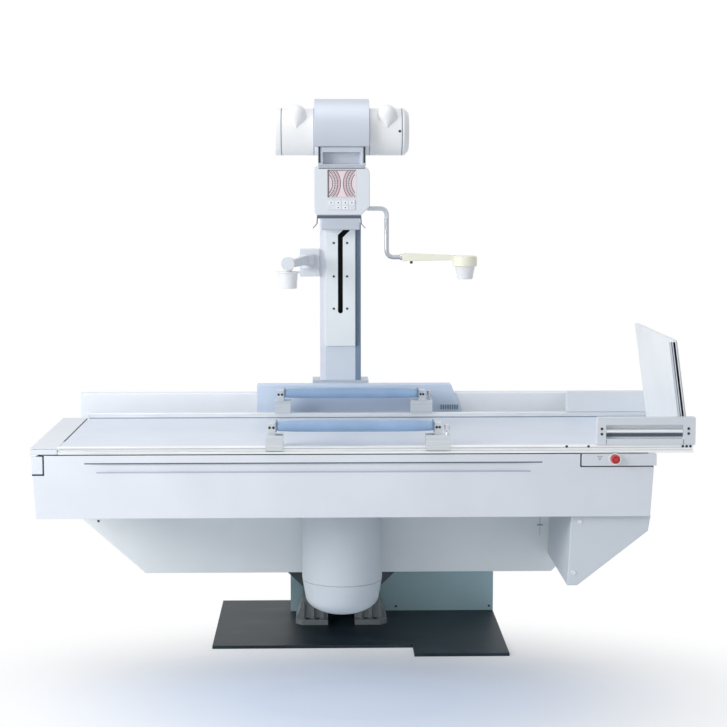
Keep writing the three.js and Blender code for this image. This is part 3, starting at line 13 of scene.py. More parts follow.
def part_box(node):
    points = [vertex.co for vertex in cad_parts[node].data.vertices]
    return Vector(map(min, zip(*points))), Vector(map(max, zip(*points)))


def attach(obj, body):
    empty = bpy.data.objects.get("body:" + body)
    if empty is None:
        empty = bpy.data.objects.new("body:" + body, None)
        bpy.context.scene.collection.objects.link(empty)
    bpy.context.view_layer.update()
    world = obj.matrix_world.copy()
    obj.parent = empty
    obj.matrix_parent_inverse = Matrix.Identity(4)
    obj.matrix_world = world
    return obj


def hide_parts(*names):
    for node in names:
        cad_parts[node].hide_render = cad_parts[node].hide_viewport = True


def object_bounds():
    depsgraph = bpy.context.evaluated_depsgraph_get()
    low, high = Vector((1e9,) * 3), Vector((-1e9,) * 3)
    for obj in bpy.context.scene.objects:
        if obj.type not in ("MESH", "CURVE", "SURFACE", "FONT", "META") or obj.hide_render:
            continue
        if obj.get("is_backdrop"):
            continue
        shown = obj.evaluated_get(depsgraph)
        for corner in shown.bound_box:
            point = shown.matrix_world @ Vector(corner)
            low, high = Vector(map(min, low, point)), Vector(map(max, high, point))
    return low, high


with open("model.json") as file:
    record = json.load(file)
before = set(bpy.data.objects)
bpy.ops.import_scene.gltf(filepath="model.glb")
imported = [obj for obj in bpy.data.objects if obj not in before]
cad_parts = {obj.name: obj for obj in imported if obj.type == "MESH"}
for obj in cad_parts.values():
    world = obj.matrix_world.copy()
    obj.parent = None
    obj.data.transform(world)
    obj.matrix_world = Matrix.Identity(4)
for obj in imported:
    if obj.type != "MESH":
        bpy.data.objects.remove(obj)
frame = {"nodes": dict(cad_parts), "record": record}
CAD_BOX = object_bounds()
MM = 0.001
NODE_SLOT = {row["node"]: row["material_slot"] for row in frame["record"]["subparts"]}
NODE_BODY = {n: b for b, nodes in frame["record"]["behaviour"]["bodies"].items() for n in nodes}
print("loaded", len(frame["nodes"]), "pieces")

# %% [markdown]
# ## Camera
# The picture was taken from about six metres in front of the table, at the height of the tube, with a long
# lens. A camera that looks slightly down from there gives the same perspective without any shift.

# %% Camera
FRAME_PIXELS = 727
FOCAL_PIXELS = 1662.4
SENSOR = 36.0
CAMERA_PLACE = Vector((-0.061, -6.396, 1.711))
CAMERA_AIM = Vector((0.0233, 1.0, -0.1086))


def add_object(name, data):
    """A new object in the scene."""
    piece = bpy.data.objects.new(name, data)
    bpy.context.scene.collection.objects.link(piece)
    return piece


camera_data = bpy.data.cameras.new("photo_camera")
camera_data.sensor_width = SENSOR
camera_data.lens = SENSOR * FOCAL_PIXELS / FRAME_PIXELS
camera = add_object("photo_camera", camera_data)
camera.location = CAMERA_PLACE
camera.rotation_mode = "QUATERNION"
camera.rotation_quaternion = CAMERA_AIM.to_track_quat("-Z", "Y")
bpy.context.scene.camera = camera
print("lens", round(camera_data.lens, 1), "mm")

# %% [markdown]
# ## Colours and nodes
# Colours are written as sRGB hex, as a colour picker shows them, and turned to linear light in one place.
# A second helper adds a node with its settings and links. A third lets a pattern give a shader its looks.

# %% Colour and node helpers
def hex_colour(text, shade=1.0):
    """sRGB hex to linear RGBA, darkened or lightened by shade."""
    values = [int(text[i:i + 2], 16) / 255 for i in (1, 3, 5)]
    linear = [v / 12.92 if v <= 0.04045 else ((v + 0.055) / 1.055) ** 2.4 for v in values]
    return (*[v * shade for v in linear], 1.0)


def feed(tree, node, values=None, links=None):
    """Sets sockets of a node to values, and links other sockets into it."""
    for name, value in (values or {}).items():
        node.inputs[name].default_value = value
    for name, socket in (links or {}).items():
        tree.links.new(socket, node.inputs[name])


def add_node(tree, kind, settings=None, values=None, links=None):
    """Adds a node, sets its properties and feeds its sockets."""
    node = tree.nodes.new(kind)
    for name, value in (settings or {}).items():
        setattr(node, name, value)
    feed(tree, node, values, links)
    return node


def new_finish(name):
    """A new material, its node tree, its shader and its Object coordinates."""
    material = bpy.data.materials.new(name)
    material.use_nodes = True
    tree = material.node_tree
    place = add_node(tree, "ShaderNodeTexCoord")
    return material, tree, tree.nodes["Principled BSDF"], place.outputs["Object"]


def surface(tree, shader, pattern, colours=None, ramp=(0.3, 0.7), gloss=None, bump=None, values=None, tone=None):
    """A pattern gives a shader its colour, roughness and bump. The colour may follow a tone of its own."""
    links = {}
    if colours:
        blend = add_node(tree, "ShaderNodeValToRGB", links={"Fac": tone or pattern})
        for element, position, colour in zip(blend.color_ramp.elements, ramp, colours):
            element.position = position
            element.color = colour
        links["Base Color"] = blend.outputs["Color"]
    if gloss:
        links["Roughness"] = add_node(tree, "ShaderNodeMapRange", values={"To Min": gloss[0], "To Max": gloss[1]},
                                      links={"Value": pattern}).outputs["Result"]
    if bump:
        links["Normal"] = add_node(tree, "ShaderNodeBump", values={"Strength": bump[0], "Distance": bump[1]},
                                   links={"Height": pattern}).outputs["Normal"]
    feed(tree, shader, values, links)


print("helpers ready")

# %% [markdown]
# ## Floor
# The table stands on pale paper that runs out into a white background. The paper keeps the shadow close to
# the table, and near the table it is painted pale blue as painted shade. Further out, what the camera and the gloss
# see of it fades to plain white, so no horizon shows.

# %% Floor
FLOOR_SIZE = 60
FLOOR_CENTRE = (0.05, -1.0)
FLOOR_SQUEEZE = 0.62
FLOOR_FADE = (0.3, 1.1)
FLOOR_PAINTED_SHADE, FLOOR_FAR = "#dce6f5", "#fbfcfe"
FLOOR_SHADE_RAMP = (0.2, 0.7)


def backdrop_rays(tree):
    """1 for the rays that see the backdrop: from the camera, off a gloss or through a clear piece."""
    path = add_node(tree, "ShaderNodeLightPath")
    seen = path.outputs["Is Camera Ray"]
    for kind in ("Is Glossy Ray", "Is Transmission Ray"):
        seen = add_node(tree, "ShaderNodeMath", {"operation": "MAXIMUM"},
                        links={0: seen, 1: path.outputs[kind]}).outputs[0]
    return seen


bpy.ops.object.select_all(action="DESELECT")
bpy.ops.mesh.primitive_plane_add(size=FLOOR_SIZE)
floor = bpy.context.object
floor.name = "studio_floor"
paper, tree, shader, place = new_finish("floor_paper")
centred = add_node(tree, "ShaderNodeMapping",
                   values={"Location": (-FLOOR_CENTRE[0] * FLOOR_SQUEEZE, -FLOOR_CENTRE[1], 0),
                           "Scale": (FLOOR_SQUEEZE, 1, 1)}, links={"Vector": place})
reach = add_node(tree, "ShaderNodeVectorMath", {"operation": "LENGTH"}, links={0: centred.outputs["Vector"]})
# Pale blue in front of the table, fading to near-white outwards: painted shade on the paper.
surface(tree, shader, reach.outputs["Value"], (hex_colour(FLOOR_PAINTED_SHADE), hex_colour(FLOOR_FAR)), FLOOR_SHADE_RAMP,
        values={"Roughness": 0.9})
fade = add_node(tree, "ShaderNodeMapRange", {"interpolation_type": "SMOOTHSTEP"},
                {"From Min": FLOOR_FADE[0], "From Max": FLOOR_FADE[1]}, {"Value": reach.outputs["Value"]})
share = add_node(tree, "ShaderNodeMath", {"operation": "MULTIPLY"},
                 links={0: backdrop_rays(tree), 1: fade.outputs["Result"]})
white = add_node(tree, "ShaderNodeEmission", values={"Color": (1, 1, 1, 1), "Strength": 1.0})
mix = add_node(tree, "ShaderNodeMixShader",
               links={0: share.outputs[0], 1: shader.outputs[0], 2: white.outputs[0]})
tree.links.new(mix.outputs[0], tree.nodes["Material Output"].inputs["Surface"])
floor.data.materials.append(paper)
floor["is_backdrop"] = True
print("floor fades between", FLOOR_FADE, "metres")

# %% [markdown]
# ## Light
# The photograph is lit from the left: the head end is bright, and the foot end is about a third darker. One
# large soft lamp at the left front does that, with an even white surround and a weak lamp overhead.

# %% Light
SURROUND = 0.535
SURROUND_TINT = "#f3f7ff"
LAMPS = {
    "key_lamp": {"place": (-3.4, -2.9, 2.3), "aim": (-0.7, -0.6, 0.8), "size": 2.2, "power": 94},
    "top_lamp": {"place": (-0.6, -1.0, 4.6), "aim": (-0.2, -0.4, 0.8), "size": 3.0, "power": 34},
}

world = bpy.data.worlds.new("studio")
world.use_nodes = True
bpy.context.scene.world = world
tree = world.node_tree
surround = tree.nodes["Background"]
feed(tree, surround, {"Color": hex_colour(SURROUND_TINT), "Strength": SURROUND})
backdrop = add_node(tree, "ShaderNodeBackground", values={"Color": (1, 1, 1, 1), "Strength": 1.0})
mix = add_node(tree, "ShaderNodeMixShader",
               links={0: backdrop_rays(tree), 1: surround.outputs[0], 2: backdrop.outputs[0]})
tree.links.new(mix.outputs[0], tree.nodes["World Output"].inputs["Surface"])

for name, soft in LAMPS.items():
    data = bpy.data.lights.new(name, "AREA")
    data.shape = "DISK"
    data.size = soft["size"]
    data.energy = soft["power"]
    lamp = add_object(name, data)
    lamp.location = soft["place"]
    lamp.rotation_mode = "QUATERNION"
    lamp.rotation_quaternion = (Vector(soft["aim"]) - Vector(soft["place"])).to_track_quat("-Z", "Y")
bpy.context.scene.view_settings.view_transform = "Standard"
print("surround", SURROUND, "and", len(LAMPS), "lamps")

# %% [markdown]
# ## Enamel
# Most of the table is folded sheet steel with a stove-dried enamel. Sprayed enamel has a faint orange peel,
# which softens its gloss, and slow changes of tone over a hand's breadth. Both come from noise.

# %% Enamel
PEEL_MM = 7       # real 1 to 2 mm, drawn coarser so that it shows
CLOUD_MM = 260


def enamel(name, colour, roughness, metallic=0.0):
    material, tree, shader, place = new_finish(name)
    peel = add_node(tree, "ShaderNodeTexNoise", values={"Scale": 1000 / PEEL_MM, "Detail": 2.0},
                    links={"Vector": place})
    cloud = add_node(tree, "ShaderNodeTexNoise", values={"Scale": 1000 / CLOUD_MM, "Detail": 3.0},
                     links={"Vector": place})
    surface(tree, shader, peel.outputs["Fac"], (hex_colour(colour, 0.95), hex_colour(colour)), (0.35, 0.65),
            (roughness - 0.05, roughness + 0.07), (0.05, 0.0004), {"Metallic": metallic}, cloud.outputs["Fac"])
    return material


FINISH = {
    "teal_enamel": enamel("teal_enamel", "#b9d8de", 0.55),
    "dark_grey": enamel("dark_grey_enamel", "#4b565c", 0.5),
    "pale_enamel": enamel("pale_blue_enamel", "#f6fbfb", 0.45),
    "white_enamel": enamel("white_enamel", "#e6eaef", 0.45),
    "tabletop": enamel("tabletop_laminate", "#dfe7f2", 0.36),
    "column_aluminium": enamel("column_paint", "#dfe6ee", 0.42),
    "blue_grey": enamel("metallic_blue_grey", "#ccd2dc", 0.5, 0.35),
    "tube_enamel": enamel("tube_enamel", "#f8f8f6", 0.4),
}
TOWER_BLUE = enamel("tower_cover_blue", "#d8e6f9", 0.45)
GROOVE_SHADE = enamel("groove_shade", "#56626f", 0.5)
DRUM_GREY = enamel("drum_grey", "#d6dee2", 0.5)
BOARD_WHITE = enamel("board_white", "#fbfdfd", 0.42)
# Painted light: the column's left strip, lighter than the column.
COLUMN_PAINTED_LIGHT = enamel("column_painted_light", "#f0f1f8", 0.42)
TOWER_RAIL_WHITE = enamel("tower_rail_white", "#f6faff", 0.4)
# Dark trim of its own colour on ribs, end plates and cap seams, and painted shade on lines, grooves and the
# column's right strip.
DARK_TRIM_AND_SHADE = enamel("dark_trim_and_shade", "#7f91a6", 0.45)
VIOLET_GREY = enamel("violet_grey_enamel", "#b9bed2", 0.45)
print("materials so far:", len(bpy.data.materials))

# %% [markdown]
# ## Metals
# The rails are drawn and anodised aluminium, the paddle's tube is polished steel, and the screws are blackened.
# Drawing and grinding leave fine lines along the bar. The real lines are a fifth of a millimetre apart.

# %% Metals
LINE_MM = 3       # real 0.2 mm, drawn coarser so that it shows


def drawn_metal(name, colour, roughness, stretch=(0.02, 1.0, 1.0)):
    material, tree, shader, place = new_finish(name)
    along = add_node(tree, "ShaderNodeMapping", values={"Scale": stretch}, links={"Vector": place})
    lines = add_node(tree, "ShaderNodeTexNoise", values={"Scale": 1000 / LINE_MM, "Detail": 2.0},
                     links={"Vector": along.outputs["Vector"]})
    surface(tree, shader, lines.outputs["Fac"], (hex_colour(colour, 0.86), hex_colour(colour)),
            gloss=(roughness - 0.06, roughness + 0.08), values={"Metallic": 1.0})
    return material


FINISH["steel"] = drawn_metal("ground_steel", "#cfd3d7", 0.26)
FINISH["aluminium"] = drawn_metal("anodised_aluminium", "#f1f4f6", 0.42)
CLAMP_METAL = drawn_metal("clamp_aluminium", "#d3d9de", 0.5)
CARRIAGE_METAL = drawn_metal("carriage_aluminium", "#c5ccd4", 0.45)
BOARD_EDGE_METAL = drawn_metal("board_edge_aluminium", "#cfd6dd", 0.36, (1.0, 1.0, 0.02))
POLISHED_TUBE = drawn_metal("polished_tube", "#b9bec4", 0.3, (0.02, 0.02, 0.02))
BLACK_SCREW = drawn_metal("blackened_screw", "#3d444b", 0.42)
print("materials so far:", len(bpy.data.materials))

# %% [markdown]
# ## Floor plate and casting
# The floor plate is hot-rolled steel under black paint, scuffed grey by shoes and trolley wheels. The stand is
# a sand casting: its paint lies over a lumpy skin whose grains are a few millimetres wide.

# %% Floor plate and casting
SCUFF_MM = 90
SAND = {"mm": 5, "detail": 5.0, "shade": 0.75, "ramp": (0.3, 0.7), "bump": (0.35, 0.001)}


def scuffed_paint(name, colour, worn):
    material, tree, shader, place = new_finish(name)
    streaks = add_node(tree, "ShaderNodeMapping", values={"Scale": (0.35, 1.0, 1.0)}, links={"Vector": place})
    scuff = add_node(tree, "ShaderNodeTexNoise",
                     values={"Scale": 1000 / SCUFF_MM, "Detail": 8.0, "Roughness": 0.7},
                     links={"Vector": streaks.outputs["Vector"]})
    surface(tree, shader, scuff.outputs["Fac"], (hex_colour(colour), hex_colour(worn)), (0.45, 0.9), (0.34, 0.6),
            values={"Specular IOR Level": 0.3})
    return material


def grained(name, colour, roughness, grain, metallic=0.0):
    """A skin of fine grains, darker and lower between them."""
    material, tree, shader, place = new_finish(name)
    grains = add_node(tree, "ShaderNodeTexNoise", values={"Scale": 1000 / grain["mm"], "Detail": grain["detail"]},
                      links={"Vector": place})
    surface(tree, shader, grains.outputs["Fac"], (hex_colour(colour, grain["shade"]), hex_colour(colour)),
            grain["ramp"], bump=grain["bump"], values={"Roughness": roughness, "Metallic": metallic})
    return material


FINISH["black_steel"] = scuffed_paint("black_floor_steel", "#15252e", "#3a4c57")
FINISH["grey_cast"] = grained("grey_cast_iron", "#8f9698", 0.7, SAND, 0.1)
print("floor plate and casting finished")

# %% [markdown]
# ## Plastics and vinyl
# Brackets, keys and small covers are moulded, with the spark-eroded grain of the mould. The pads are foam in
# calendered vinyl with a leather-like cell. The cups are thin frosted polyethylene that lets light through.

# %% Plastics and vinyl
GRAIN_MM = 4      # real 0.5 mm, drawn coarser so that it shows
GRAIN = {"mm": GRAIN_MM, "detail": 3.0, "shade": 0.96, "ramp": (0.25, 0.75), "bump": (0.08, 0.0003)}
CELL_MM = 5       # real 1.2 mm, drawn coarser so that it shows
VINYL_CLOUD_MM = 110


def moulding(name, colour, roughness):
    return grained(name, colour, roughness, GRAIN)


def vinyl(name, colour):
    material, tree, shader, place = new_finish(name)
    cells = add_node(tree, "ShaderNodeTexVoronoi", values={"Scale": 1000 / CELL_MM}, links={"Vector": place})
    cloud = add_node(tree, "ShaderNodeTexNoise", values={"Scale": 1000 / VINYL_CLOUD_MM, "Detail": 3.0},
                     links={"Vector": place})
    surface(tree, shader, cells.outputs["Distance"], (hex_colour(colour, 0.84), hex_colour(colour)),
            bump=(0.2, 0.0006), values={"Roughness": 0.48, "Sheen Weight": 0.15}, tone=cloud.outputs["Fac"])
    return material


def frosted(name, colour):
    material, tree, shader, place = new_finish(name)
    haze = add_node(tree, "ShaderNodeTexNoise", values={"Scale": 1000 / GRAIN_MM}, links={"Vector": place})
    surface(tree, shader, haze.outputs["Fac"], gloss=(0.28, 0.42),
            values={"Base Color": hex_colour(colour), "Transmission Weight": 0.12, "IOR": 1.5})
    return material


FINISH.update({
    "white_plastic": moulding("white_moulding", "#dbe2e6", 0.45),
    "pale_plastic": moulding("pale_moulding", "#e4e8ec", 0.45),
    "dark_plastic": moulding("dark_moulding", "#545d63", 0.5),
    "red_plastic": moulding("red_button_plastic", "#cf3338", 0.35),
    "dial_face": moulding("dial_face", "#efe1e3", 0.3),
    "cream_plastic": moulding("cream_moulding", "#fbf9e4", 0.45),
    "blue_vinyl": vinyl("blue_vinyl", "#9ab7d8"),
    "clear_white": frosted("frosted_white", "#fdfdfd"),
})
# Black rubber for the head joint, and black strips that paint shade in gaps, the column's slot and the sounder's
# holes.
BLACK_RUBBER_AND_SHADE = moulding("black_rubber_and_shade", "#1d252d", 0.6)
BUTTON_SHADE = moulding("button_shade", "#8f1f2c", 0.4)
KEY_WHITE = moulding("key_white", "#f7f9fc", 0.4)
# Print on the dial and keys, and painted shade along the dial window's edges.
DIAL_INK_AND_SHADE = moulding("dial_ink_and_shade", "#5d4d55", 0.5)
DIAL_PINK = moulding("dial_pink", "#dfbcc2", 0.45)
print("finishes by slot:", len(FINISH))

# %% [markdown]
# ## Working by hand
# The next pieces are made with the operators of Blender's menus. An operator acts on whatever is selected, so
# each helper first clears the selection. Faces are then picked in code, by their place or their direction.

# %% Hand tools
ROUND_FROM = math.radians(28)
SMOOTH_TO = math.radians(40)
LINE_ROUND = 0.4


def pick(piece):
    """The piece alone is selected and active."""
    bpy.ops.object.select_all(action="DESELECT")
    bpy.context.view_layer.objects.active = piece
    piece.select_set(True)


def applied(name):
    """Names the new primitive and moves its place and turn into its mesh."""
    piece = bpy.context.object
    piece.name = name
    bpy.ops.object.transform_apply(location=True, rotation=True, scale=True)
    return piece


def block(name, low, high):
    """A cube between two corners, in millimetres."""
    bpy.ops.object.select_all(action="DESELECT")
    low, high = Vector(low) * MM, Vector(high) * MM
    bpy.ops.mesh.primitive_cube_add(size=1, location=(low + high) / 2, scale=high - low)
    return applied(name)


def rod(name, start, end, radius, sides=24):
    """A cylinder between two points, in millimetres."""
    bpy.ops.object.select_all(action="DESELECT")
    start, end = Vector(start) * MM, Vector(end) * MM
    turn = (end - start).to_track_quat("Z", "Y").to_euler()
    bpy.ops.mesh.primitive_cylinder_add(vertices=sides, radius=radius * MM, depth=(end - start).length,
                                        location=(start + end) / 2, rotation=turn)
    return applied(name)


def select_faces(piece, test):
    """Leaves the piece in edit mode with only the faces selected that pass the test."""
    pick(piece)
    bpy.ops.object.mode_set(mode="EDIT")
    bpy.ops.mesh.select_mode(type="FACE")
    bpy.ops.mesh.select_all(action="DESELECT")
    bpy.ops.object.mode_set(mode="OBJECT")
    for face in piece.data.polygons:
        face.select = test(face)
    bpy.ops.object.mode_set(mode="EDIT")


def edit_all(piece):
    """Puts the piece in edit mode, all of it selected."""
    pick(piece)
    bpy.ops.object.mode_set(mode="EDIT")
    bpy.ops.mesh.select_all(action="SELECT")


def cut_across(piece, places_mm):
    """Cuts the piece by planes across X."""
    for x in places_mm:
        edit_all(piece)
        bpy.ops.mesh.bisect(plane_co=(x * MM, 0, 0), plane_no=(1, 0, 0))
        bpy.ops.object.mode_set(mode="OBJECT")


def sink(piece, test, rim_mm, step):
    """Insets the faces that pass the test, and pushes them by the step, in millimetres."""
    select_faces(piece, test)
    bpy.ops.mesh.inset(thickness=rim_mm * MM)
    bpy.ops.mesh.extrude_region_move(TRANSFORM_OT_translate={"value": Vector(step) * MM})
    bpy.ops.object.mode_set(mode="OBJECT")


def modify(piece, kind, **settings):
    """Adds a modifier with its settings, and applies it."""
    pick(piece)
    modifier = piece.modifiers.new(kind.lower(), kind)
    for name, value in settings.items():
        setattr(modifier, name, value)
    bpy.ops.object.modifier_apply(modifier=modifier.name)


def round_edges(piece, width_mm, segments=2):
    modify(piece, "BEVEL", width=width_mm * MM, segments=segments, limit_method="ANGLE", angle_limit=ROUND_FROM)


def settle(piece, body, slot, finish=None):
    """Smooth shading, a finish (the slot's, if none is given) and the body as parent."""
    pick(piece)
    bpy.ops.object.shade_smooth_by_angle(angle=SMOOTH_TO)
    modify(piece, "WEIGHTED_NORMAL", keep_sharp=True)
    if finish or not piece.data.materials:
        piece.data.materials.clear()
        piece.data.materials.append(finish or FINISH[slot])
    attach(piece, body)
    return piece


def paint(piece, finish, test):
    """Gives a further finish to the faces that pass the test."""
    piece.data.materials.append(finish)
    for face in piece.data.polygons:
        if test(face):
            face.material_index = len(piece.data.materials) - 1


def finish_off(piece, round_mm, body, slot="dark_plastic", finish=None):
    """Rounds the edges of a piece and settles it."""
    round_edges(piece, round_mm)
    settle(piece, body, slot, finish)


def strip(name, low, high, body, finish, round_mm=LINE_ROUND):
    """A thin bar between two corners: a seam, or a dark strip or line of painted shade."""
    finish_off(block(name, low, high), round_mm, body, finish=finish)


def stamp(pattern, name, place_mm, turn=Matrix()):
    """A copy of a pattern piece with its own mesh, its place in the mesh."""
    piece = add_object(name, pattern.data.copy())
    piece.data.transform(Matrix.Translation(Vector(place_mm) * MM) @ turn)
    return piece


def drop(pattern):
    """Takes a pattern piece away once its copies are made."""
    bpy.data.objects.remove(pattern)


def corners(node):
    """A node's lowest and highest corner, in millimetres."""
    low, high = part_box(node)
    return Vector(low) / MM, Vector(high) / MM


print("hand tools ready")

# %% [markdown]
# ## Dressing the solids
# The solids have knife edges, and real covers don't. Each solid is copied, its loose triangles are merged to
# flat faces, and its edges get a small round, as a press brake or a mould leaves them. The copy stands for it.

# %% Dressing
MERGE_WITHIN = 1e-5
FLAT_TO = math.radians(0.5)


def dress(node, round_mm, segments=3, finish=None):
    """A rounded copy of a solid that stands for it. With round_mm 0 it is only merged and smoothed."""
    piece = add_object(node + "_finished", frame["nodes"][node].data.copy())
    edit_all(piece)
    bpy.ops.mesh.remove_doubles(threshold=MERGE_WITHIN)
    if round_mm:
        bpy.ops.mesh.dissolve_limited(angle_limit=FLAT_TO)
    bpy.ops.object.mode_set(mode="OBJECT")
    if round_mm:
        round_edges(piece, round_mm, segments)
    piece.data.materials.clear()
    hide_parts(node)
    return settle(piece, NODE_BODY[node], NODE_SLOT[node], finish)


ROUND_MM = {
    "front_cover": 4, "head_end_cover": 3, "foot_end_cover": 3, "rear_cover": 3, "rear_beam": 3, "foot_box": 5,
    "control_panel": 3, "tabletop_panel": 2, "head_end_cap": 4, "front_rail": 1.5, "rear_rail": 1.5,
    "near_foot_bracket": 4, "far_foot_bracket": 4, "column_front_plate": 1.5,
    "lift_arm": 6, "tube_yoke": 4, "tube_barrel": 3, "tube_cap_left": 3, "tube_cap_right": 3, "tube_neck": 3,
    "collimator_housing": 4, "dial_window": 1, "key_pad": 1.5, "collimator_plate": 1,
    "paddle_arm": 3, "paddle_cone": 2, "compressor_block": 2, "compressor_arm": 1, "compressor_cup": 1.5,
    "stop_button": 3, "base_plate": 2, "drive_housing": 4, "pivot_stand": 5, "pivot_bearing": 2,
    "imaging_unit": 3, "tilt_saddle": 3, "drive_motor": 4,
}
OWN_ROUND = 2
OWN_FINISH = (
    (FINISH["tube_enamel"], ("tube_horn_left", "tube_horn_right")),
    (DRUM_GREY, ("intensifier_drum", "drum_cap")),
    (CLAMP_METAL, [f"{which}_pad_clamp_{end}" for which in ("near", "far") for end in ("head", "foot")]),
    (CARRIAGE_METAL, ("carriage", "head_frame", "foot_frame", "front_beam")),
)

for node, round_mm in ROUND_MM.items():
    dress(node, round_mm)
for finish, nodes in OWN_FINISH:
    for node in nodes:
        dress(node, OWN_ROUND, finish=finish)
dress("tower_rail", 5, 4, TOWER_RAIL_WHITE)
dress("footboard", 4, 3, BOARD_WHITE)
dress("paddle_tube", 0, finish=POLISHED_TUBE)
for node, piece in frame["nodes"].items():
    piece.data.materials.clear()
    piece.data.materials.append(FINISH[NODE_SLOT[node]])

# %% [markdown]
# ## Column
# The column is an aluminium extrusion. Its front plate leaves a strip at the left and a grooved strip at the right.
# The left strip is painted lighter as painted light, the right strip darker and the slot's faces black as painted
# shade. The strips are cut with bisect, then painted by place.

# %% Column
SLOT_DEPTH = (2, 70)
SKIN_DEPTH = 6
SHADED, SLOT_SHADE, PAINTED_LIGHT = 1, 2, 3

column = dress("column", 1.5)
plate_low, plate_high = corners("column_front_plate")
column_y = corners("column")[0].y
cut_across(column, (plate_low.x, plate_high.x))
for finish in (DARK_TRIM_AND_SHADE, BLACK_RUBBER_AND_SHADE, COLUMN_PAINTED_LIGHT):
    column.data.materials.append(finish)
painted = 0
# The slot is painted black and the right strip darker as painted shade. The left strip is painted lighter as
# painted light.
for face in column.data.polygons:
    centre = face.center / MM
    behind_plate = plate_low.x < centre.x < plate_high.x and plate_low.z < centre.z < plate_high.z
    if behind_plate and column_y + SLOT_DEPTH[0] < centre.y < column_y + SLOT_DEPTH[1]:
        face.material_index = SLOT_SHADE
    elif centre.x > plate_high.x - 1 and centre.y < column_y + SKIN_DEPTH:
        face.material_index = SHADED
    elif centre.x < plate_low.x + 1 and centre.y < column_y + SKIN_DEPTH:
        face.material_index = PAINTED_LIGHT
    painted += face.material_index > 0
settle(column, "tower", "column_aluminium")
print("painted", painted, "faces of the column")

# %% [markdown]
# ## Tower cover
# An enamelled cover runs along the rear rail with the tower. Its left end is a violet-grey plate, and near its
# slanted right end sits a ribbed wiper that keeps cloth out of the gap. The ribs are one bar, repeated by an array.

# %% Tower cover
VIOLET_TO = -200
RIB = {"count": 8, "pitch": 9, "width": 5, "out": 3, "from_end": 96, "low": 44, "high": 62}

cover = dress("tower_cover", 4, finish=TOWER_BLUE)
paint(cover, VIOLET_GREY, lambda face: face.normal.x < -0.7
      or (face.normal.z > 0.7 and face.center.x < VIOLET_TO * MM))

cover_low, cover_high = corners("tower_cover")
rib_x = cover_high.x - RIB["from_end"]
rib = block("tower_wiper", (rib_x, cover_low.y - RIB["out"], cover_low.z + RIB["low"]),
            (rib_x + RIB["width"], cover_low.y + 1, cover_low.z + RIB["high"]))
round_edges(rib, 1.2)
modify(rib, "ARRAY", count=RIB["count"], use_relative_offset=False, use_constant_offset=True,
       constant_offset_displace=(RIB["pitch"] * MM, 0, 0))
settle(rib, "tower", "dark_plastic", DARK_TRIM_AND_SHADE)
print("tower cover with", RIB["count"], "ribs")

# %% [markdown]
# ## Padded side rests
# The rests are foam bars in blue vinyl. A cloth simulation gives their skin: a slightly smaller copy of the bar
# is remeshed, blown up from inside like a tight cover over foam, and held back so that it keeps its place.

# %% Padded side rests
PAD_VOXEL = 5
PAD_SHRINK = 2.2
PAD_MOST = 3.2
PAD_HELD = 30
PAD_PRESSURE = 4.0
PAD_STIFFNESS = 15
PAD_STEPS = 20


def padded_bar(node):
    """The blown vinyl skin of one bar, which stands for its solid."""
    piece = add_object(node + "_vinyl", frame["nodes"][node].data.copy())
    low, high = corners(node)
    middle, span = (low + high) / 2, high - low
    for point in piece.data.vertices:
        offset = Vector(point.co) / MM - middle
        shrunk = [o * (s - 2 * PAD_SHRINK) / s for o, s in zip(offset, span)]
        point.co = (middle + Vector(shrunk)) * MM
    modify(piece, "REMESH", mode="VOXEL", voxel_size=PAD_VOXEL * MM)
    start = [point.co.copy() for point in piece.data.vertices]
    held = piece.vertex_groups.new(name="held_ends")
    for point in piece.data.vertices:
        from_end = min(point.co.x / MM - low.x, high.x - point.co.x / MM) - PAD_SHRINK
        if from_end < PAD_HELD:
            held.add([point.index], min(1.0, 1 - from_end / PAD_HELD), "REPLACE")
    cloth = piece.modifiers.new("blown", "CLOTH")
    cloth.settings.vertex_group_mass = held.name
    cloth.settings.use_pressure = True
    cloth.settings.uniform_pressure_force = PAD_PRESSURE
    cloth.settings.tension_stiffness = PAD_STIFFNESS
    cloth.settings.effector_weights.gravity = 0
    for step in range(1, PAD_STEPS + 1):
        bpy.context.scene.frame_set(step)
    pick(piece)
    bpy.ops.object.modifier_apply(modifier=cloth.name)
    bpy.context.scene.frame_set(1)
    for point, before in zip(piece.data.vertices, start):
        move = point.co - before
        if move.length > PAD_MOST * MM:
            point.co = before + move.normalized() * PAD_MOST * MM
        point.co.x = min(max(point.co.x, low.x * MM), high.x * MM)
    piece.vertex_groups.clear()
    modify(piece, "SUBSURF", levels=1, render_levels=1)
    piece.data.materials.clear()
    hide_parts(node)
    settle(piece, NODE_BODY[node], NODE_SLOT[node])
    heights = [point.co.z / MM for point in piece.data.vertices]
    print(node, "from", round(min(heights)), "to", round(max(heights)), "mm high")
    return piece


PADS = {node: padded_bar(node) for node in ("near_side_pad", "far_side_pad")}

# %% [markdown]
# ## Welts of the pads
# Each cover is closed by a welt, a narrow piped seam along its front, and by a plate at each end. The welt follows
# the blown skin: at every step along the bar, the foremost point at the seam's height gives its next point.

# %% Welts
WELT_R = 1.6
WELT_STEPS = 40
WELT_UP = 11
WELT_IN = 14
WELT_REACH = {"along": 8, "up": 4}
END_PLATE = 4.5
END_RIM = 6


def welt_route(pad, low, high):
    """The foremost points of a pad's skin, at the height of its seam."""
    height = low.z + WELT_UP
    points = [(point.co.x / MM, (point.co / MM).y, point.co.z / MM) for point in pad.data.vertices]
    route = []
    for step in range(WELT_STEPS + 1):
        x = low.x + WELT_IN + (high.x - low.x - 2 * WELT_IN) * step / WELT_STEPS
        near = [py for px, py, pz in points
                if abs(px - x) < WELT_REACH["along"] and abs(pz - height) < WELT_REACH["up"]]
        route.append(Vector((x, min(near), height)))
    return route


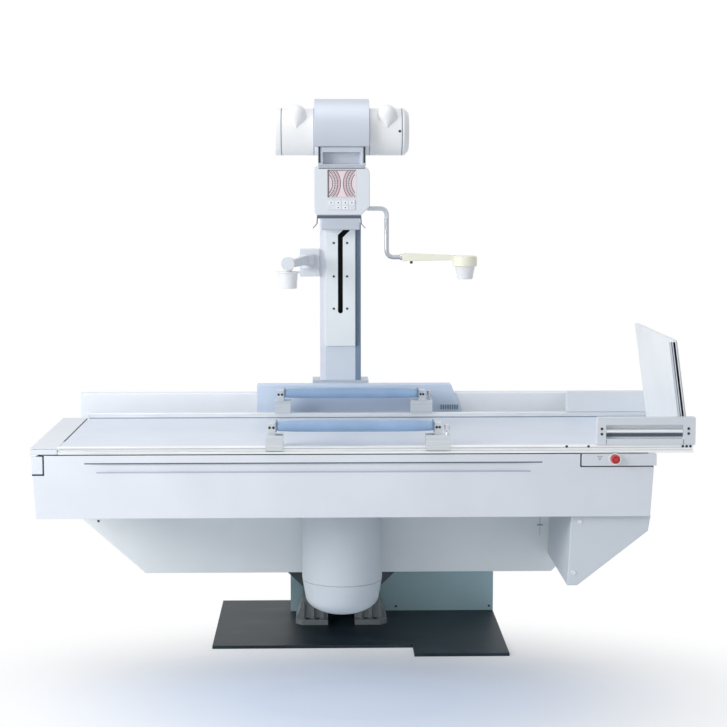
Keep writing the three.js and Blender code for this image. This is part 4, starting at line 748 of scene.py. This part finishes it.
for node, pad in PADS.items():
    low, high = corners(node)
    route = welt_route(pad, low, high)
    curve = bpy.data.curves.new(node + "_welt", "CURVE")
    curve.dimensions = "3D"
    curve.bevel_depth = WELT_R * MM
    curve.bevel_resolution = 2
    curve.use_fill_caps = True
    line = curve.splines.new("POLY")
    line.points.add(len(route) - 1)
    for point, place_mm in zip(line.points, route):
        point.co = (*(place_mm * MM), 1.0)
    pick(add_object(node + "_welt", curve))
    bpy.ops.object.convert(target="MESH")
    settle(bpy.context.object, NODE_BODY[node], "blue_vinyl", FINISH["blue_vinyl"])
    for end, x in (("head", low.x), ("foot", high.x - END_PLATE)):
        plate = block(f"{node}_{end}_plate", (x, low.y + 1, low.z + 1), (x + END_PLATE, high.y - 1, high.z - 1))
        sink(plate, lambda face: abs(face.normal.x) > 0.9, END_RIM, (0, 0, 0))
        finish_off(plate, 1.2, NODE_BODY[node], finish=DARK_TRIM_AND_SHADE)
print("welts and end plates on", len(PADS), "pads")

# %% [markdown]
# ## Screws
# Covers and rails are held by socket screws. One head is modelled, in two sizes: a short cylinder, its face inset
# and pushed in to make the socket, its rim rounded. The rest are copies, each turned to face out of its surface.

# %% Screws
TO_BACK = Matrix.Rotation(math.pi, 4, "Z")
TO_HEAD = Matrix.Rotation(-math.pi / 2, 4, "Z")
TO_FOOT = Matrix.Rotation(math.pi / 2, 4, "Z")
SOCKET = {"rim": 0.45, "depth": 0.55, "round": 0.12}
END_COVER = 9.3
END_SCREW_Z = 750
FRONT_Y, PLATE_Y, HULL_Y, BOX_Y = [
    corners(node)[0].y for node in ("front_rail", "column_front_plate", "rear_beam", "foot_box")]
column_back = corners("column")[1].y
rear_low, rear_high = corners("rear_cover")
drive_low, drive_high = corners("drive_housing")


def screw_head(name, radius, height):
    """The head stands on the plane Y = 0 and looks along -Y."""
    head = rod(name, (0, 0.5, 0), (0, -height, 0), radius, 20)
    sink(head, lambda face: face.normal.y < -0.9, radius * SOCKET["rim"], (0, height * SOCKET["depth"], 0))
    round_edges(head, radius * SOCKET["round"])
    return head


SMALL = screw_head("small_screw", 4.5, 1.6)
LARGE = screw_head("large_screw", 7.5, 4.0)


def screw(name, place_mm, body, turn=Matrix(), slot="dark_plastic"):
    settle(stamp(SMALL, name, place_mm, turn), body, slot, BLACK_SCREW)


FRONT_SCREWS = {
    "tabletop": [(x, FRONT_Y, z) for x, z in (
        (764, 816), (839, 816), (1163, 815), (1176, 815), (1189, 815),
        (884, 876), (884, 858), (1182, 876), (1182, 859))],
    "tower": [(x, PLATE_Y, z) for x in (-26, 26) for z in (1223, 1349, 1479)],
    "table_body": [(-908, HULL_Y, 456)],
    "base": [(x, drive_low.y, 30) for x in (592, 220)],
}
BACK_SCREWS = {
    "column_back": ("tower", [(x, column_back, z) for x in (-64, 64) for z in (980, 1300, 1620, 1940)]),
    "rear_cover": ("table_body", [(x, rear_high.y, rear_low.z + 14) for x in (-900, -450, 0, 450, 900)]),
    "housing_back": ("base", [(x, drive_high.y, z) for x in (drive_low.x + 16, drive_high.x - 16)
                              for z in (drive_low.z + 18, drive_high.z - 18)]),
}
for body, places in FRONT_SCREWS.items():
    for index, place_mm in enumerate(places):
        screw(f"{body}_screw_{index}", place_mm, body)
for name, (body, places) in BACK_SCREWS.items():
    for index, place_mm in enumerate(places):
        screw(f"{name}_screw_{index}", place_mm, body, TO_BACK)
head_x, foot_x = corners("head_frame")[0].x - END_COVER, corners("foot_frame")[1].x + END_COVER
for index, y in enumerate((-700, -420, -140)):
    screw(f"head_cover_screw_{index}", (head_x, y, END_SCREW_Z), "table_body", TO_HEAD)
    screw(f"foot_cover_screw_{index}", (foot_x, y, END_SCREW_Z), "table_body", TO_FOOT)
for index, (x, z) in enumerate(((816, 551), (797, 372))):
    settle(stamp(LARGE, f"foot_box_cap_{index}", (x, BOX_Y, z)), "table_body", "white_plastic", KEY_WHITE)

# %% [markdown]
# ## Clamps of the side rests
# Each pad hangs on two clamps that slide on the rails. A knurled knob on a stud draws the clamp tight, and two
# socket screws hold the pad's post. The knob is a cylinder whose side faces are inset, every second one.

# %% Clamps
KNOB_IN, KNOB_SIDE, KNOB_DOWN = 11, 22, 10
POST_FRONT, POST_UP = 18, 14
POST_SCREWS = {"head": (14, 27), "foot": (-46, -36)}

knob = rod("clamp_knob", (0, 0, 16), (0, 0, 34), 9)
flanks = [f.index for f in knob.data.polygons if abs(f.normal.z) < 0.5]
sink(knob, lambda face: face.index in flanks[::2], 0.3, (0, 0, 0))
round_edges(knob, 1.0)
stud = rod("clamp_stud", (0, 0, -1), (0, 0, 17), 4, 16)
nut = rod("clamp_nut", (0, 0, 0), (0, 0, 6), 8, 6)
round_edges(nut, 0.8)
bpy.ops.object.select_all(action="DESELECT")
for part in (knob, stud, nut):
    part.select_set(True)
bpy.context.view_layer.objects.active = knob
bpy.ops.object.join()

for which in ("near", "far"):
    rest = f"{which}_rest"
    head_low = corners(f"{which}_pad_clamp_head")[0]
    foot_low, foot_high = corners(f"{which}_pad_clamp_foot")
    pad_low, pad_high = corners(f"{which}_side_pad")
    knob_y = foot_low.y + KNOB_SIDE if which == "near" else foot_high.y - KNOB_SIDE
    settle(stamp(knob, f"{which}_clamp_knob_0", (foot_high.x - KNOB_IN, knob_y, pad_low.z - KNOB_DOWN)), rest,
           "aluminium", FINISH["steel"])
    post_y = (pad_low.y + pad_high.y) / 2 - POST_FRONT
    for start, places in ((head_low.x, POST_SCREWS["head"]), (foot_high.x, POST_SCREWS["foot"])):
        for along in places:
            x = start + along
            screw(f"{which}_post_screw_{round(x)}", (x, post_y, pad_low.z + POST_UP), rest)
drop(knob)
print("clamps dressed")

# %% [markdown]
# ## Dial of the collimator
# Behind a sunken window lies a printed dial with two mirrored fans of arcs for the field size. Each arc is a thin
# bar that spin turns about the fan's centre. The ticks come from the same tool, which can also leave copies.

# %% Dial
dial_low, dial_high = corners("dial_window")
DIAL_X, DIAL_Z = (dial_low.x + dial_high.x) / 2, (dial_low.z + dial_high.z) / 2
FAN_AWAY = 81
FAN = {48: 42, 57: 52, 66: 43, 76: 36}
ARC_WIDTH = 2.2
ARC_STEPS = 24
SPIN_MERGE = 1e-6
INK_HALF = 0.7
INK_IN = 0.3
TICKS = {"dial_ticks_{}": (61.5, 4, 44, 16), "dial_ticks_{}_inner": (52.5, 3, 42, 12)}
BAND = {"radius": 71, "width": 6, "spread": 39, "out": 0.2}
DIAL_SHADE = {"out": 2.5, "left": 3, "top": 2}


def fan_bar(name, side, radius, width, spread, copies=0, out=0.5):
    """A bar at the fan's lower end, spun to its upper end about the fan's centre."""
    centre = Vector((DIAL_X - side * FAN_AWAY, dial_low.y, DIAL_Z))
    begin = Matrix.Rotation(side * math.radians(spread), 4, "Y")
    bar = block(name, (side * radius - width / 2, -out, -INK_HALF), (side * radius + width / 2, INK_IN, INK_HALF))
    if not copies:
        select_faces(bar, lambda face: face.normal.z > -0.9)
        bpy.ops.mesh.delete(type="FACE")
        bpy.ops.object.mode_set(mode="OBJECT")
    bar.data.transform(Matrix.Translation(centre * MM) @ begin)
    edit_all(bar)
    bpy.ops.mesh.spin(steps=copies or ARC_STEPS, angle=side * math.radians(2 * spread), center=centre * MM,
                      axis=(0, 1, 0), dupli=bool(copies))
    bpy.ops.mesh.select_all(action="SELECT")
    bpy.ops.mesh.remove_doubles(threshold=SPIN_MERGE)
    bpy.ops.mesh.normals_make_consistent(inside=False)
    bpy.ops.object.mode_set(mode="OBJECT")
    return bar


for side, which in ((1, "left"), (-1, "right")):
    inked = [fan_bar(f"dial_arc_{which}_{radius}", side, radius, ARC_WIDTH, spread)
             for radius, spread in FAN.items()]
    inked += [fan_bar(name.format(which), side, *sizes) for name, sizes in TICKS.items()]
    for piece in inked:
        settle(piece, "collimator", "dial_face", DIAL_INK_AND_SHADE)
    settle(fan_bar(f"dial_band_{which}", side, **BAND), "collimator", "dial_face", DIAL_PINK)
# Dark strips along the window's left and top edges: painted shade in the recess.
shade_y = (dial_low.y - DIAL_SHADE["out"], dial_low.y + INK_IN)
strip("dial_shade_left", (dial_low.x, shade_y[0], dial_low.z), (dial_low.x + DIAL_SHADE["left"], shade_y[1], dial_high.z),
      "collimator", DIAL_INK_AND_SHADE)
strip("dial_shade_top", (dial_low.x, shade_y[0], dial_high.z - DIAL_SHADE["top"]), (dial_high.x, shade_y[1], dial_high.z),
      "collimator", DIAL_INK_AND_SHADE)
print("dial arcs:", 2 * len(FAN))

# %% [markdown]
# ## Keys
# Under the dial sit six soft keys, four above and two below, each with a dark mark. One key is a rounded block with
# a dished face. Its mark is a small disc that lies in the dish.

# %% Keys
KEY = {"width": 17, "height": 13, "out": 2.0}
KEY_ROWS = {1642: (-38, -13, 12, 35), 1625: (-13, 12)}

pad_y = corners("key_pad")[0].y
key = block("key", (-KEY["width"] / 2, -KEY["out"], -KEY["height"] / 2),
            (KEY["width"] / 2, 0.5, KEY["height"] / 2))
sink(key, lambda face: face.normal.y < -0.9, 1.5, (0, 0.5, 0))
round_edges(key, 0.8)
mark = rod("key_mark", (0, -KEY["out"] + 0.2, 0), (0, -KEY["out"] + 0.9, 0), 2.4, 12)
round_edges(mark, 0.2)
KEY_PLACES = [(x, pad_y, z) for z, row in KEY_ROWS.items() for x in row]
for index, place_mm in enumerate(KEY_PLACES):
    settle(stamp(key, f"key_{index}", place_mm), "collimator", "pale_plastic", KEY_WHITE)
    settle(stamp(mark, f"key_mark_{index}", place_mm), "collimator", "dark_plastic", DIAL_INK_AND_SHADE)
drop(key)
drop(mark)
print("keys:", len(KEY_PLACES))

# %% [markdown]
# ## Tube seams
# The tube's end caps meet the barrel at a fine seam, closed by a flat ring. Two more rings, at the yoke's sides,
# are painted shade of the yoke on the barrel. Each ring is a torus, pressed flat on the barrel. A small screw locks
# the right cap.

# %% Tube seams
SEAM = {"radius": 1.4, "proud": 0.4, "around": 64, "across": 8}
barrel_low, barrel_high = corners("tube_barrel")
yoke_low, yoke_high = corners("tube_yoke")
tube_mid = (barrel_low + barrel_high) / 2
TUBE_R = (barrel_high.z - barrel_low.z) / 2
# The rings at the yoke's sides are painted shade of the yoke on the barrel.
SEAM_X = {"left": barrel_low.x, "right": barrel_high.x, "yoke_shade_left": yoke_low.x - 1, "yoke_shade_right": yoke_high.x + 1}

for which, x in SEAM_X.items():
    bpy.ops.object.select_all(action="DESELECT")
    bpy.ops.mesh.primitive_torus_add(
        major_radius=TUBE_R * MM, minor_radius=SEAM["radius"] * MM, major_segments=SEAM["around"],
        minor_segments=SEAM["across"], location=(x * MM, tube_mid.y * MM, tube_mid.z * MM),
        rotation=(0, math.pi / 2, 0))
    ring = applied(f"tube_seam_{which}")
    for point in ring.data.vertices:
        flat = Vector((0, point.co.y / MM - tube_mid.y, point.co.z / MM - tube_mid.z))
        reach_mm = min(flat.length, TUBE_R + SEAM["proud"])
        point.co.y, point.co.z = [(c + f * reach_mm / flat.length) * MM
                                  for c, f in ((tube_mid.y, flat.y), (tube_mid.z, flat.z))]
    settle(ring, "tube_head", "dark_plastic", DARK_TRIM_AND_SHADE)
screw("tube_cap_screw", (barrel_high.x - 9, tube_mid.y - TUBE_R + 0.3, tube_mid.z), "tube_head")
print("tube seams:", len(SEAM_X))

# %% [markdown]
# ## Collimator lip, neck and paddle
# The accessory plate under the collimator has a lip with two lines of painted shade, and the front and back faces
# of its clips are painted dark as shade. A dark strip along the housing's top is painted shade under the neck. Two
# dark rods stand at the neck's front corners. The paddle's arm has a steel collar and is locked by a small screw
# under it.

# %% Collimator lip, neck and paddle
TOP_SHADE_HALF = 82
LIP_H, CLIP_REACH, LINE_IN = 12, 16, 2
NECK_ROD = {"in": 5, "out": 1, "low": 12, "high": 2, "radius": 3.5}
LOCK_X = 248

housing_low, housing_high = corners("collimator_housing")
# A dark strip along the housing's top: painted shade under the neck.
strip("collimator_top_shade", (-TOP_SHADE_HALF, housing_low.y - 0.5, housing_high.z - 8),
      (TOP_SHADE_HALF, housing_low.y + 2, housing_high.z - 4), "collimator", GROOVE_SHADE)

lip_low, lip_high = corners("collimator_plate")
lip_under = lip_high.z - LIP_H
# The clips' front and back faces are painted dark: painted shade.
paint(bpy.data.objects["collimator_plate_finished"], GROOVE_SHADE,
      lambda face: face.center.z / MM < lip_under - 0.5 and abs(face.normal.y) > 0.5)
line_x = (lip_low.x + CLIP_REACH + LINE_IN, lip_high.x - CLIP_REACH - LINE_IN)
# Two dark lines along the lip: painted shade.
for name, low_z, high_z, finish in (
        ("lip_shade_top", lip_high.z - 2.4, lip_high.z - 0.4, DARK_TRIM_AND_SHADE),
        ("lip_shade_low", lip_under + 0.4, lip_under + 3.4, GROOVE_SHADE)):
    strip(name, (line_x[0], lip_low.y - 0.4, low_z), (line_x[1], lip_low.y + 2, high_z), "collimator", finish)

neck_low, neck_high = corners("tube_neck")
neck_rod_y = neck_low.y - NECK_ROD["out"]
# Two dark rods at the neck's front corners.
for which, x in (("left", neck_low.x + NECK_ROD["in"]), ("right", neck_high.x - NECK_ROD["in"])):
    dark_rod = rod(f"neck_dark_rod_{which}", (x, neck_rod_y, neck_low.z + NECK_ROD["low"]), (x, neck_rod_y, neck_high.z + NECK_ROD["high"]),
              NECK_ROD["radius"], 16)
    finish_off(dark_rod, 0.8, "tube_head", finish=BLACK_SCREW)

arm_low = corners("paddle_arm")[0]
tube_low, tube_high = corners("paddle_tube")
tube_y = (tube_low.y + tube_high.y) / 2
collar_z = tube_low.z + 8
collar = rod("paddle_collar", (arm_low.x - 9, tube_y, collar_z), (arm_low.x + 1, tube_y, collar_z), 11, 28)
finish_off(collar, 1.5, "paddle", "steel")
lock = rod("paddle_lock", (LOCK_X, tube_y, tube_low.z - 15), (LOCK_X, tube_y, tube_low.z), 5, 16)
sink(lock, lambda face: face.normal.z < -0.9, 1.5, (0, 0, 2))
finish_off(lock, 0.6, "paddle", finish=BLACK_SCREW)
print("lip, neck and paddle trimmed")

# %% [markdown]
# ## Tabletop and body trim
# Dark strips in the gaps under the tabletop and around the panel and the head end are painted shade. Lines of
# painted shade mark the edges of the rails and of the groove, and the groove's lip is painted darker as shade. A
# thin strip covers the joint of the head end. All are thin bars.

# %% Tabletop and body trim
RAIL_LINE = (812, 813.4)
SHADE_GAP = 5

cover_low, cover_high = corners("front_cover")
panel_low, panel_high = corners("control_panel")
top_low, top_high = corners("tabletop_panel")
front_low, front_high = corners("front_rail")
rail_low, rail_high = corners("rear_rail")
cap_low = corners("head_end_cap")[0]
head_x = corners("head_end_cover")[0].x
cover_y, cover_top = cover_low.y, cover_high.z
groove_left, groove_right = cover_low.x + 177, cover_high.x - 384
groove_low, groove_top = cover_top - 58, cover_top - 28
shade_x, shade_z = head_x + 40, cover_top - 64

# A black strip in the gap under the tabletop: painted shade.
strip("tabletop_gap_shade", (cover_low.x + 45, cover_y + 1.5, cover_top - 0.5),
      (panel_low.x - 6, cover_y + 8, cover_top + 2.6), "table_body", BLACK_RUBBER_AND_SHADE, 0.6)
TRIM = {
    # Dark lines along the rails' edges and on the head cap: painted shade.
    ("tabletop", DARK_TRIM_AND_SHADE): {
        "head_cap_shade_line": ((cap_low.x + 8, cap_low.y - 0.4, RAIL_LINE[0]),
                          (top_low.x - 4, cap_low.y + 3, RAIL_LINE[1])),
        "front_rail_shade_line": ((front_low.x + 6, front_low.y - 0.4, RAIL_LINE[0]),
                            (front_high.x - 6, front_low.y + 3, RAIL_LINE[1])),
        "rear_rail_shade_line": ((rail_low.x + 6, rail_low.y - 2, top_high.z + 0.2),
                           (rail_high.x - 6, rail_low.y + 0.3, top_high.z + 3))},
    ("tabletop", BLACK_RUBBER_AND_SHADE): {
        "head_joint_strip": ((top_low.x - 3, top_low.y + 130, top_high.z - 0.5),
                             (top_low.x + 2, top_high.y - 6, top_high.z + 0.8))},
    # Black strips in the gaps around the panel and the head end: painted shade.
    ("table_body", BLACK_RUBBER_AND_SHADE): {
        "panel_gap_shade_low": ((panel_low.x - 3, cover_y - 0.5, panel_low.z - 5.5),
                           (cover_high.x - 2, cover_y + 6, panel_low.z)),
        "panel_gap_shade_side": ((panel_low.x - 3, cover_y, panel_low.z - 3), (panel_low.x, cover_y + 6, panel_high.z)),
        "head_gap_shade_low": ((head_x + 3, cover_y + 2, shade_z - SHADE_GAP), (shade_x + SHADE_GAP, cover_y + 8, shade_z)),
        "head_gap_shade_side": ((shade_x, cover_y + 2, shade_z), (shade_x + SHADE_GAP, cover_y + 8, cover_top))},
    # A dark line along the groove's top edge: painted shade.
    ("table_body", GROOVE_SHADE): {
        "groove_shade": ((groove_left, cover_y - 0.4, groove_top - 1.8),
                         (groove_right, cover_y + 6, groove_top + 2.2))},
    ("table_body", VIOLET_GREY): {
        "hull_seam": ((744, HULL_Y - 0.4, 394), (746, HULL_Y + 1, 474)),
        "hull_latch": ((735, HULL_Y - 4, 431), (755, HULL_Y + 1, 436))},
}
for (body, finish), lines in TRIM.items():
    for name, (low, high) in lines.items():
        strip(name, low, high, body, finish)
# The groove's lip is painted violet-grey, darker than the cover: painted shade.
lip = block("groove_lip", (groove_left + 40, cover_y - 1.2, groove_low - 3),
            (groove_right - 40, cover_y + 6, groove_low + 1))
finish_off(lip, 1.0, "table_body", "white_enamel", VIOLET_GREY)
print("shade strips and lines:", sum(map(len, TRIM.values())) + 2)

# %% [markdown]
# ## Stop button and sounder
# On the panel sit the collar of the stop button and a small sounder. The button has a shaded ring in its face.
# The sounder is a triangle of drilled holes, here dark pins set flush as painted shade of the holes.

# %% Stop button and sounder
SOUNDER_X, SOUNDER_Z, SOUNDER_ROWS, HOLE_PITCH = 877, 770, 3, 6

button_low, button_high = corners("stop_button")
button_x, button_z = (button_low.x + button_high.x) / 2, (button_low.z + button_high.z) / 2
collar = rod("stop_collar", (button_x, panel_low.y + 0.5, button_z), (button_x, panel_low.y - 5, button_z), 20, 36)
sink(collar, lambda face: face.normal.y < -0.9, 3.4, (0, 3.5, 0))
finish_off(collar, 0.7, "table_body", "aluminium")
ring_y = (button_low.y + 0.6, button_low.y - 0.2)
ring = rod("stop_ring", (button_x, ring_y[0], button_z), (button_x, ring_y[1], button_z), 10.5, 28)
sink(ring, lambda face: face.normal.y < -0.9, 3.5, (0, 0.5, 0))
finish_off(ring, 0.2, "button", "red_plastic", BUTTON_SHADE)

hole = rod("sounder_hole", (0, 0.5, 0), (0, -0.4, 0), 1.6, 12)
round_edges(hole, 0.2)
HOLES = [(SOUNDER_X + step * HOLE_PITCH - line * HOLE_PITCH / 2, panel_low.y, SOUNDER_Z + line * HOLE_PITCH)
         for line in range(SOUNDER_ROWS) for step in range(line + 1)]
# Black flush discs: painted shade of the holes.
for index, place_mm in enumerate(HOLES):
    settle(stamp(hole, f"sounder_hole_{index}", place_mm), "table_body", "dark_plastic", BLACK_RUBBER_AND_SHADE)
drop(hole)
print("stop button and", len(HOLES), "sounder holes")

# %% [markdown]
# ## Grip pockets
# The foot brackets have a pocket for the hand, with a drawn bar across it. A strip of painted shade lies behind the
# bar, and the edges of the bracket's legs show as fine lines.

# %% Grip pockets
GRIP_ENDS = (32, 41)
GRIP_DEEP = 8
GRIP_BAR = {"radius": 8, "up": 47, "out": 5}
GRIP_SHADE = (27, 38)
LEG_LINE = (3, 20)

near_low, near_high = corners("near_foot_bracket")
for which in ("near", "far"):
    low, high = corners(f"{which}_foot_bracket")
    left, right = low.x + GRIP_ENDS[0], high.x - GRIP_ENDS[1]
    if which == "near":
        rail_top, floor_y = low.z, high.y - GRIP_DEEP
        bar_y, leg_y = floor_y - GRIP_BAR["out"], (low.y - 1, low.y + 1.5)
    else:
        rail_top, floor_y = high.z - (near_high.z - near_low.z), low.y + GRIP_DEEP
        bar_y, leg_y = floor_y + GRIP_BAR["out"], (high.y - 1.5, high.y + 1)
    bar_z = rail_top + GRIP_BAR["up"]
    bar = rod(f"{which}_grip_bar", (left, bar_y, bar_z), (right, bar_y, bar_z), GRIP_BAR["radius"])
    finish_off(bar, 1, "tabletop", "aluminium")
    # A dark strip behind the bar: painted shade in the pocket.
    strip(f"{which}_grip_shade", (left, floor_y - 1.5, rail_top + GRIP_SHADE[0]),
          (right, floor_y + 1.5, rail_top + GRIP_SHADE[1]), "tabletop", GROOVE_SHADE, 0.5)
    for end, x in (("head", left), ("foot", right)):
        strip(f"{which}_grip_leg_line_{end}", (x - 1, leg_y[0], rail_top + LEG_LINE[0]),
              (x + 1, leg_y[1], rail_top + LEG_LINE[1]), "tabletop", DARK_TRIM_AND_SHADE)
print("grip pockets with a bar each")

# %% [markdown]
# ## Footboard edge
# The footboard stands in an aluminium edge profile with two grooves. The profile is a bar, cut with bisect, and
# its strips are pushed in and painted dark as painted shade in the grooves. It leans with the board.

# %% Footboard edge
LEAN = math.radians(8)
EDGE_W, EDGE_D = 26, 18
EDGE_GROOVES = ((-21, -18.5), (-7, -4.5))
GROOVE_DEEP = 4
EDGE_SHORT = 10


def in_groove(face, spare=0.0):
    """Whether a face of the profile lies in one of the grooves' strips."""
    x = face.center.x / MM
    return any(left - spare < x < right + spare for left, right in EDGE_GROOVES)


board_low, board_high = corners("footboard")
height = (board_high.z - board_low.z) / math.cos(LEAN) - EDGE_SHORT
edge = block("footboard_edge", (-EDGE_W, 0, 0), (0, EDGE_D, height))
cut_across(edge, [x for groove in EDGE_GROOVES for x in groove])
edge.data.materials.append(BOARD_EDGE_METAL)
select_faces(edge, lambda face: face.normal.y < -0.9 and in_groove(face))
bpy.ops.mesh.extrude_region_move(TRANSFORM_OT_translate={"value": (0, GROOVE_DEEP * MM, 0)})
bpy.ops.object.mode_set(mode="OBJECT")
# The groove floors are painted dark: painted shade in the recess.
paint(edge, DARK_TRIM_AND_SHADE, lambda face: 0.5 * MM < face.center.y < (GROOVE_DEEP + 1) * MM
      and in_groove(face, 0.5))
round_edges(edge, 0.8)
board_foot = Vector((board_high.x, board_low.y, board_low.z + EDGE_SHORT / 2)) * MM
edge.data.transform(Matrix.Translation(board_foot) @ Matrix.Rotation(-LEAN, 4, "Y"))
settle(edge, "footrest", "aluminium")
print("footboard edge", round(height), "mm long")

# %% [markdown]
# ## Stand and drive
# The bearing ring is bolted to the casting with eight bolts, and each foot of the casting is bolted to the floor
# plate. The bolt heads are the socket screws from before: small ones on the ring, large ones turned up on the feet.

# %% Stand and drive
RING_BOLTS, RING_BOLT_R = 8, 100
STAND_BOLT_X = (-131, -93, 93, 131)
STAND_BOLT_IN, STAND_BOLT_UP = 16, 20.3
FACE_UP = Matrix.Rotation(-math.pi / 2, 4, "X")

ring_low, ring_high = corners("pivot_bearing")
ring_mid = (ring_low + ring_high) / 2
for index in range(RING_BOLTS):
    angle = math.radians((index + 0.5) * 360 / RING_BOLTS)
    screw(f"bearing_bolt_{index}", (ring_mid.x + RING_BOLT_R * math.cos(angle), ring_low.y,
                                    ring_mid.z + RING_BOLT_R * math.sin(angle)), "base", slot="steel")
bolt_y = corners("pivot_stand")[0].y + STAND_BOLT_IN
bolt_z = corners("base_plate")[1].z + STAND_BOLT_UP
for index, x in enumerate(STAND_BOLT_X):
    settle(stamp(LARGE, f"stand_bolt_{index}", (x, bolt_y, bolt_z), FACE_UP), "base", "steel", BLACK_SCREW)
drop(SMALL)
drop(LARGE)
print("bolts:", RING_BOLTS + len(STAND_BOLT_X))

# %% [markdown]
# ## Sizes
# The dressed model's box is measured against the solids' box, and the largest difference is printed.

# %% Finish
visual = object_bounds()
off = [abs(a - b) for c, v in zip(CAD_BOX, visual) for a, b in zip(c, v)]
print("largest difference", round(max(off) / MM, 1), "mm")
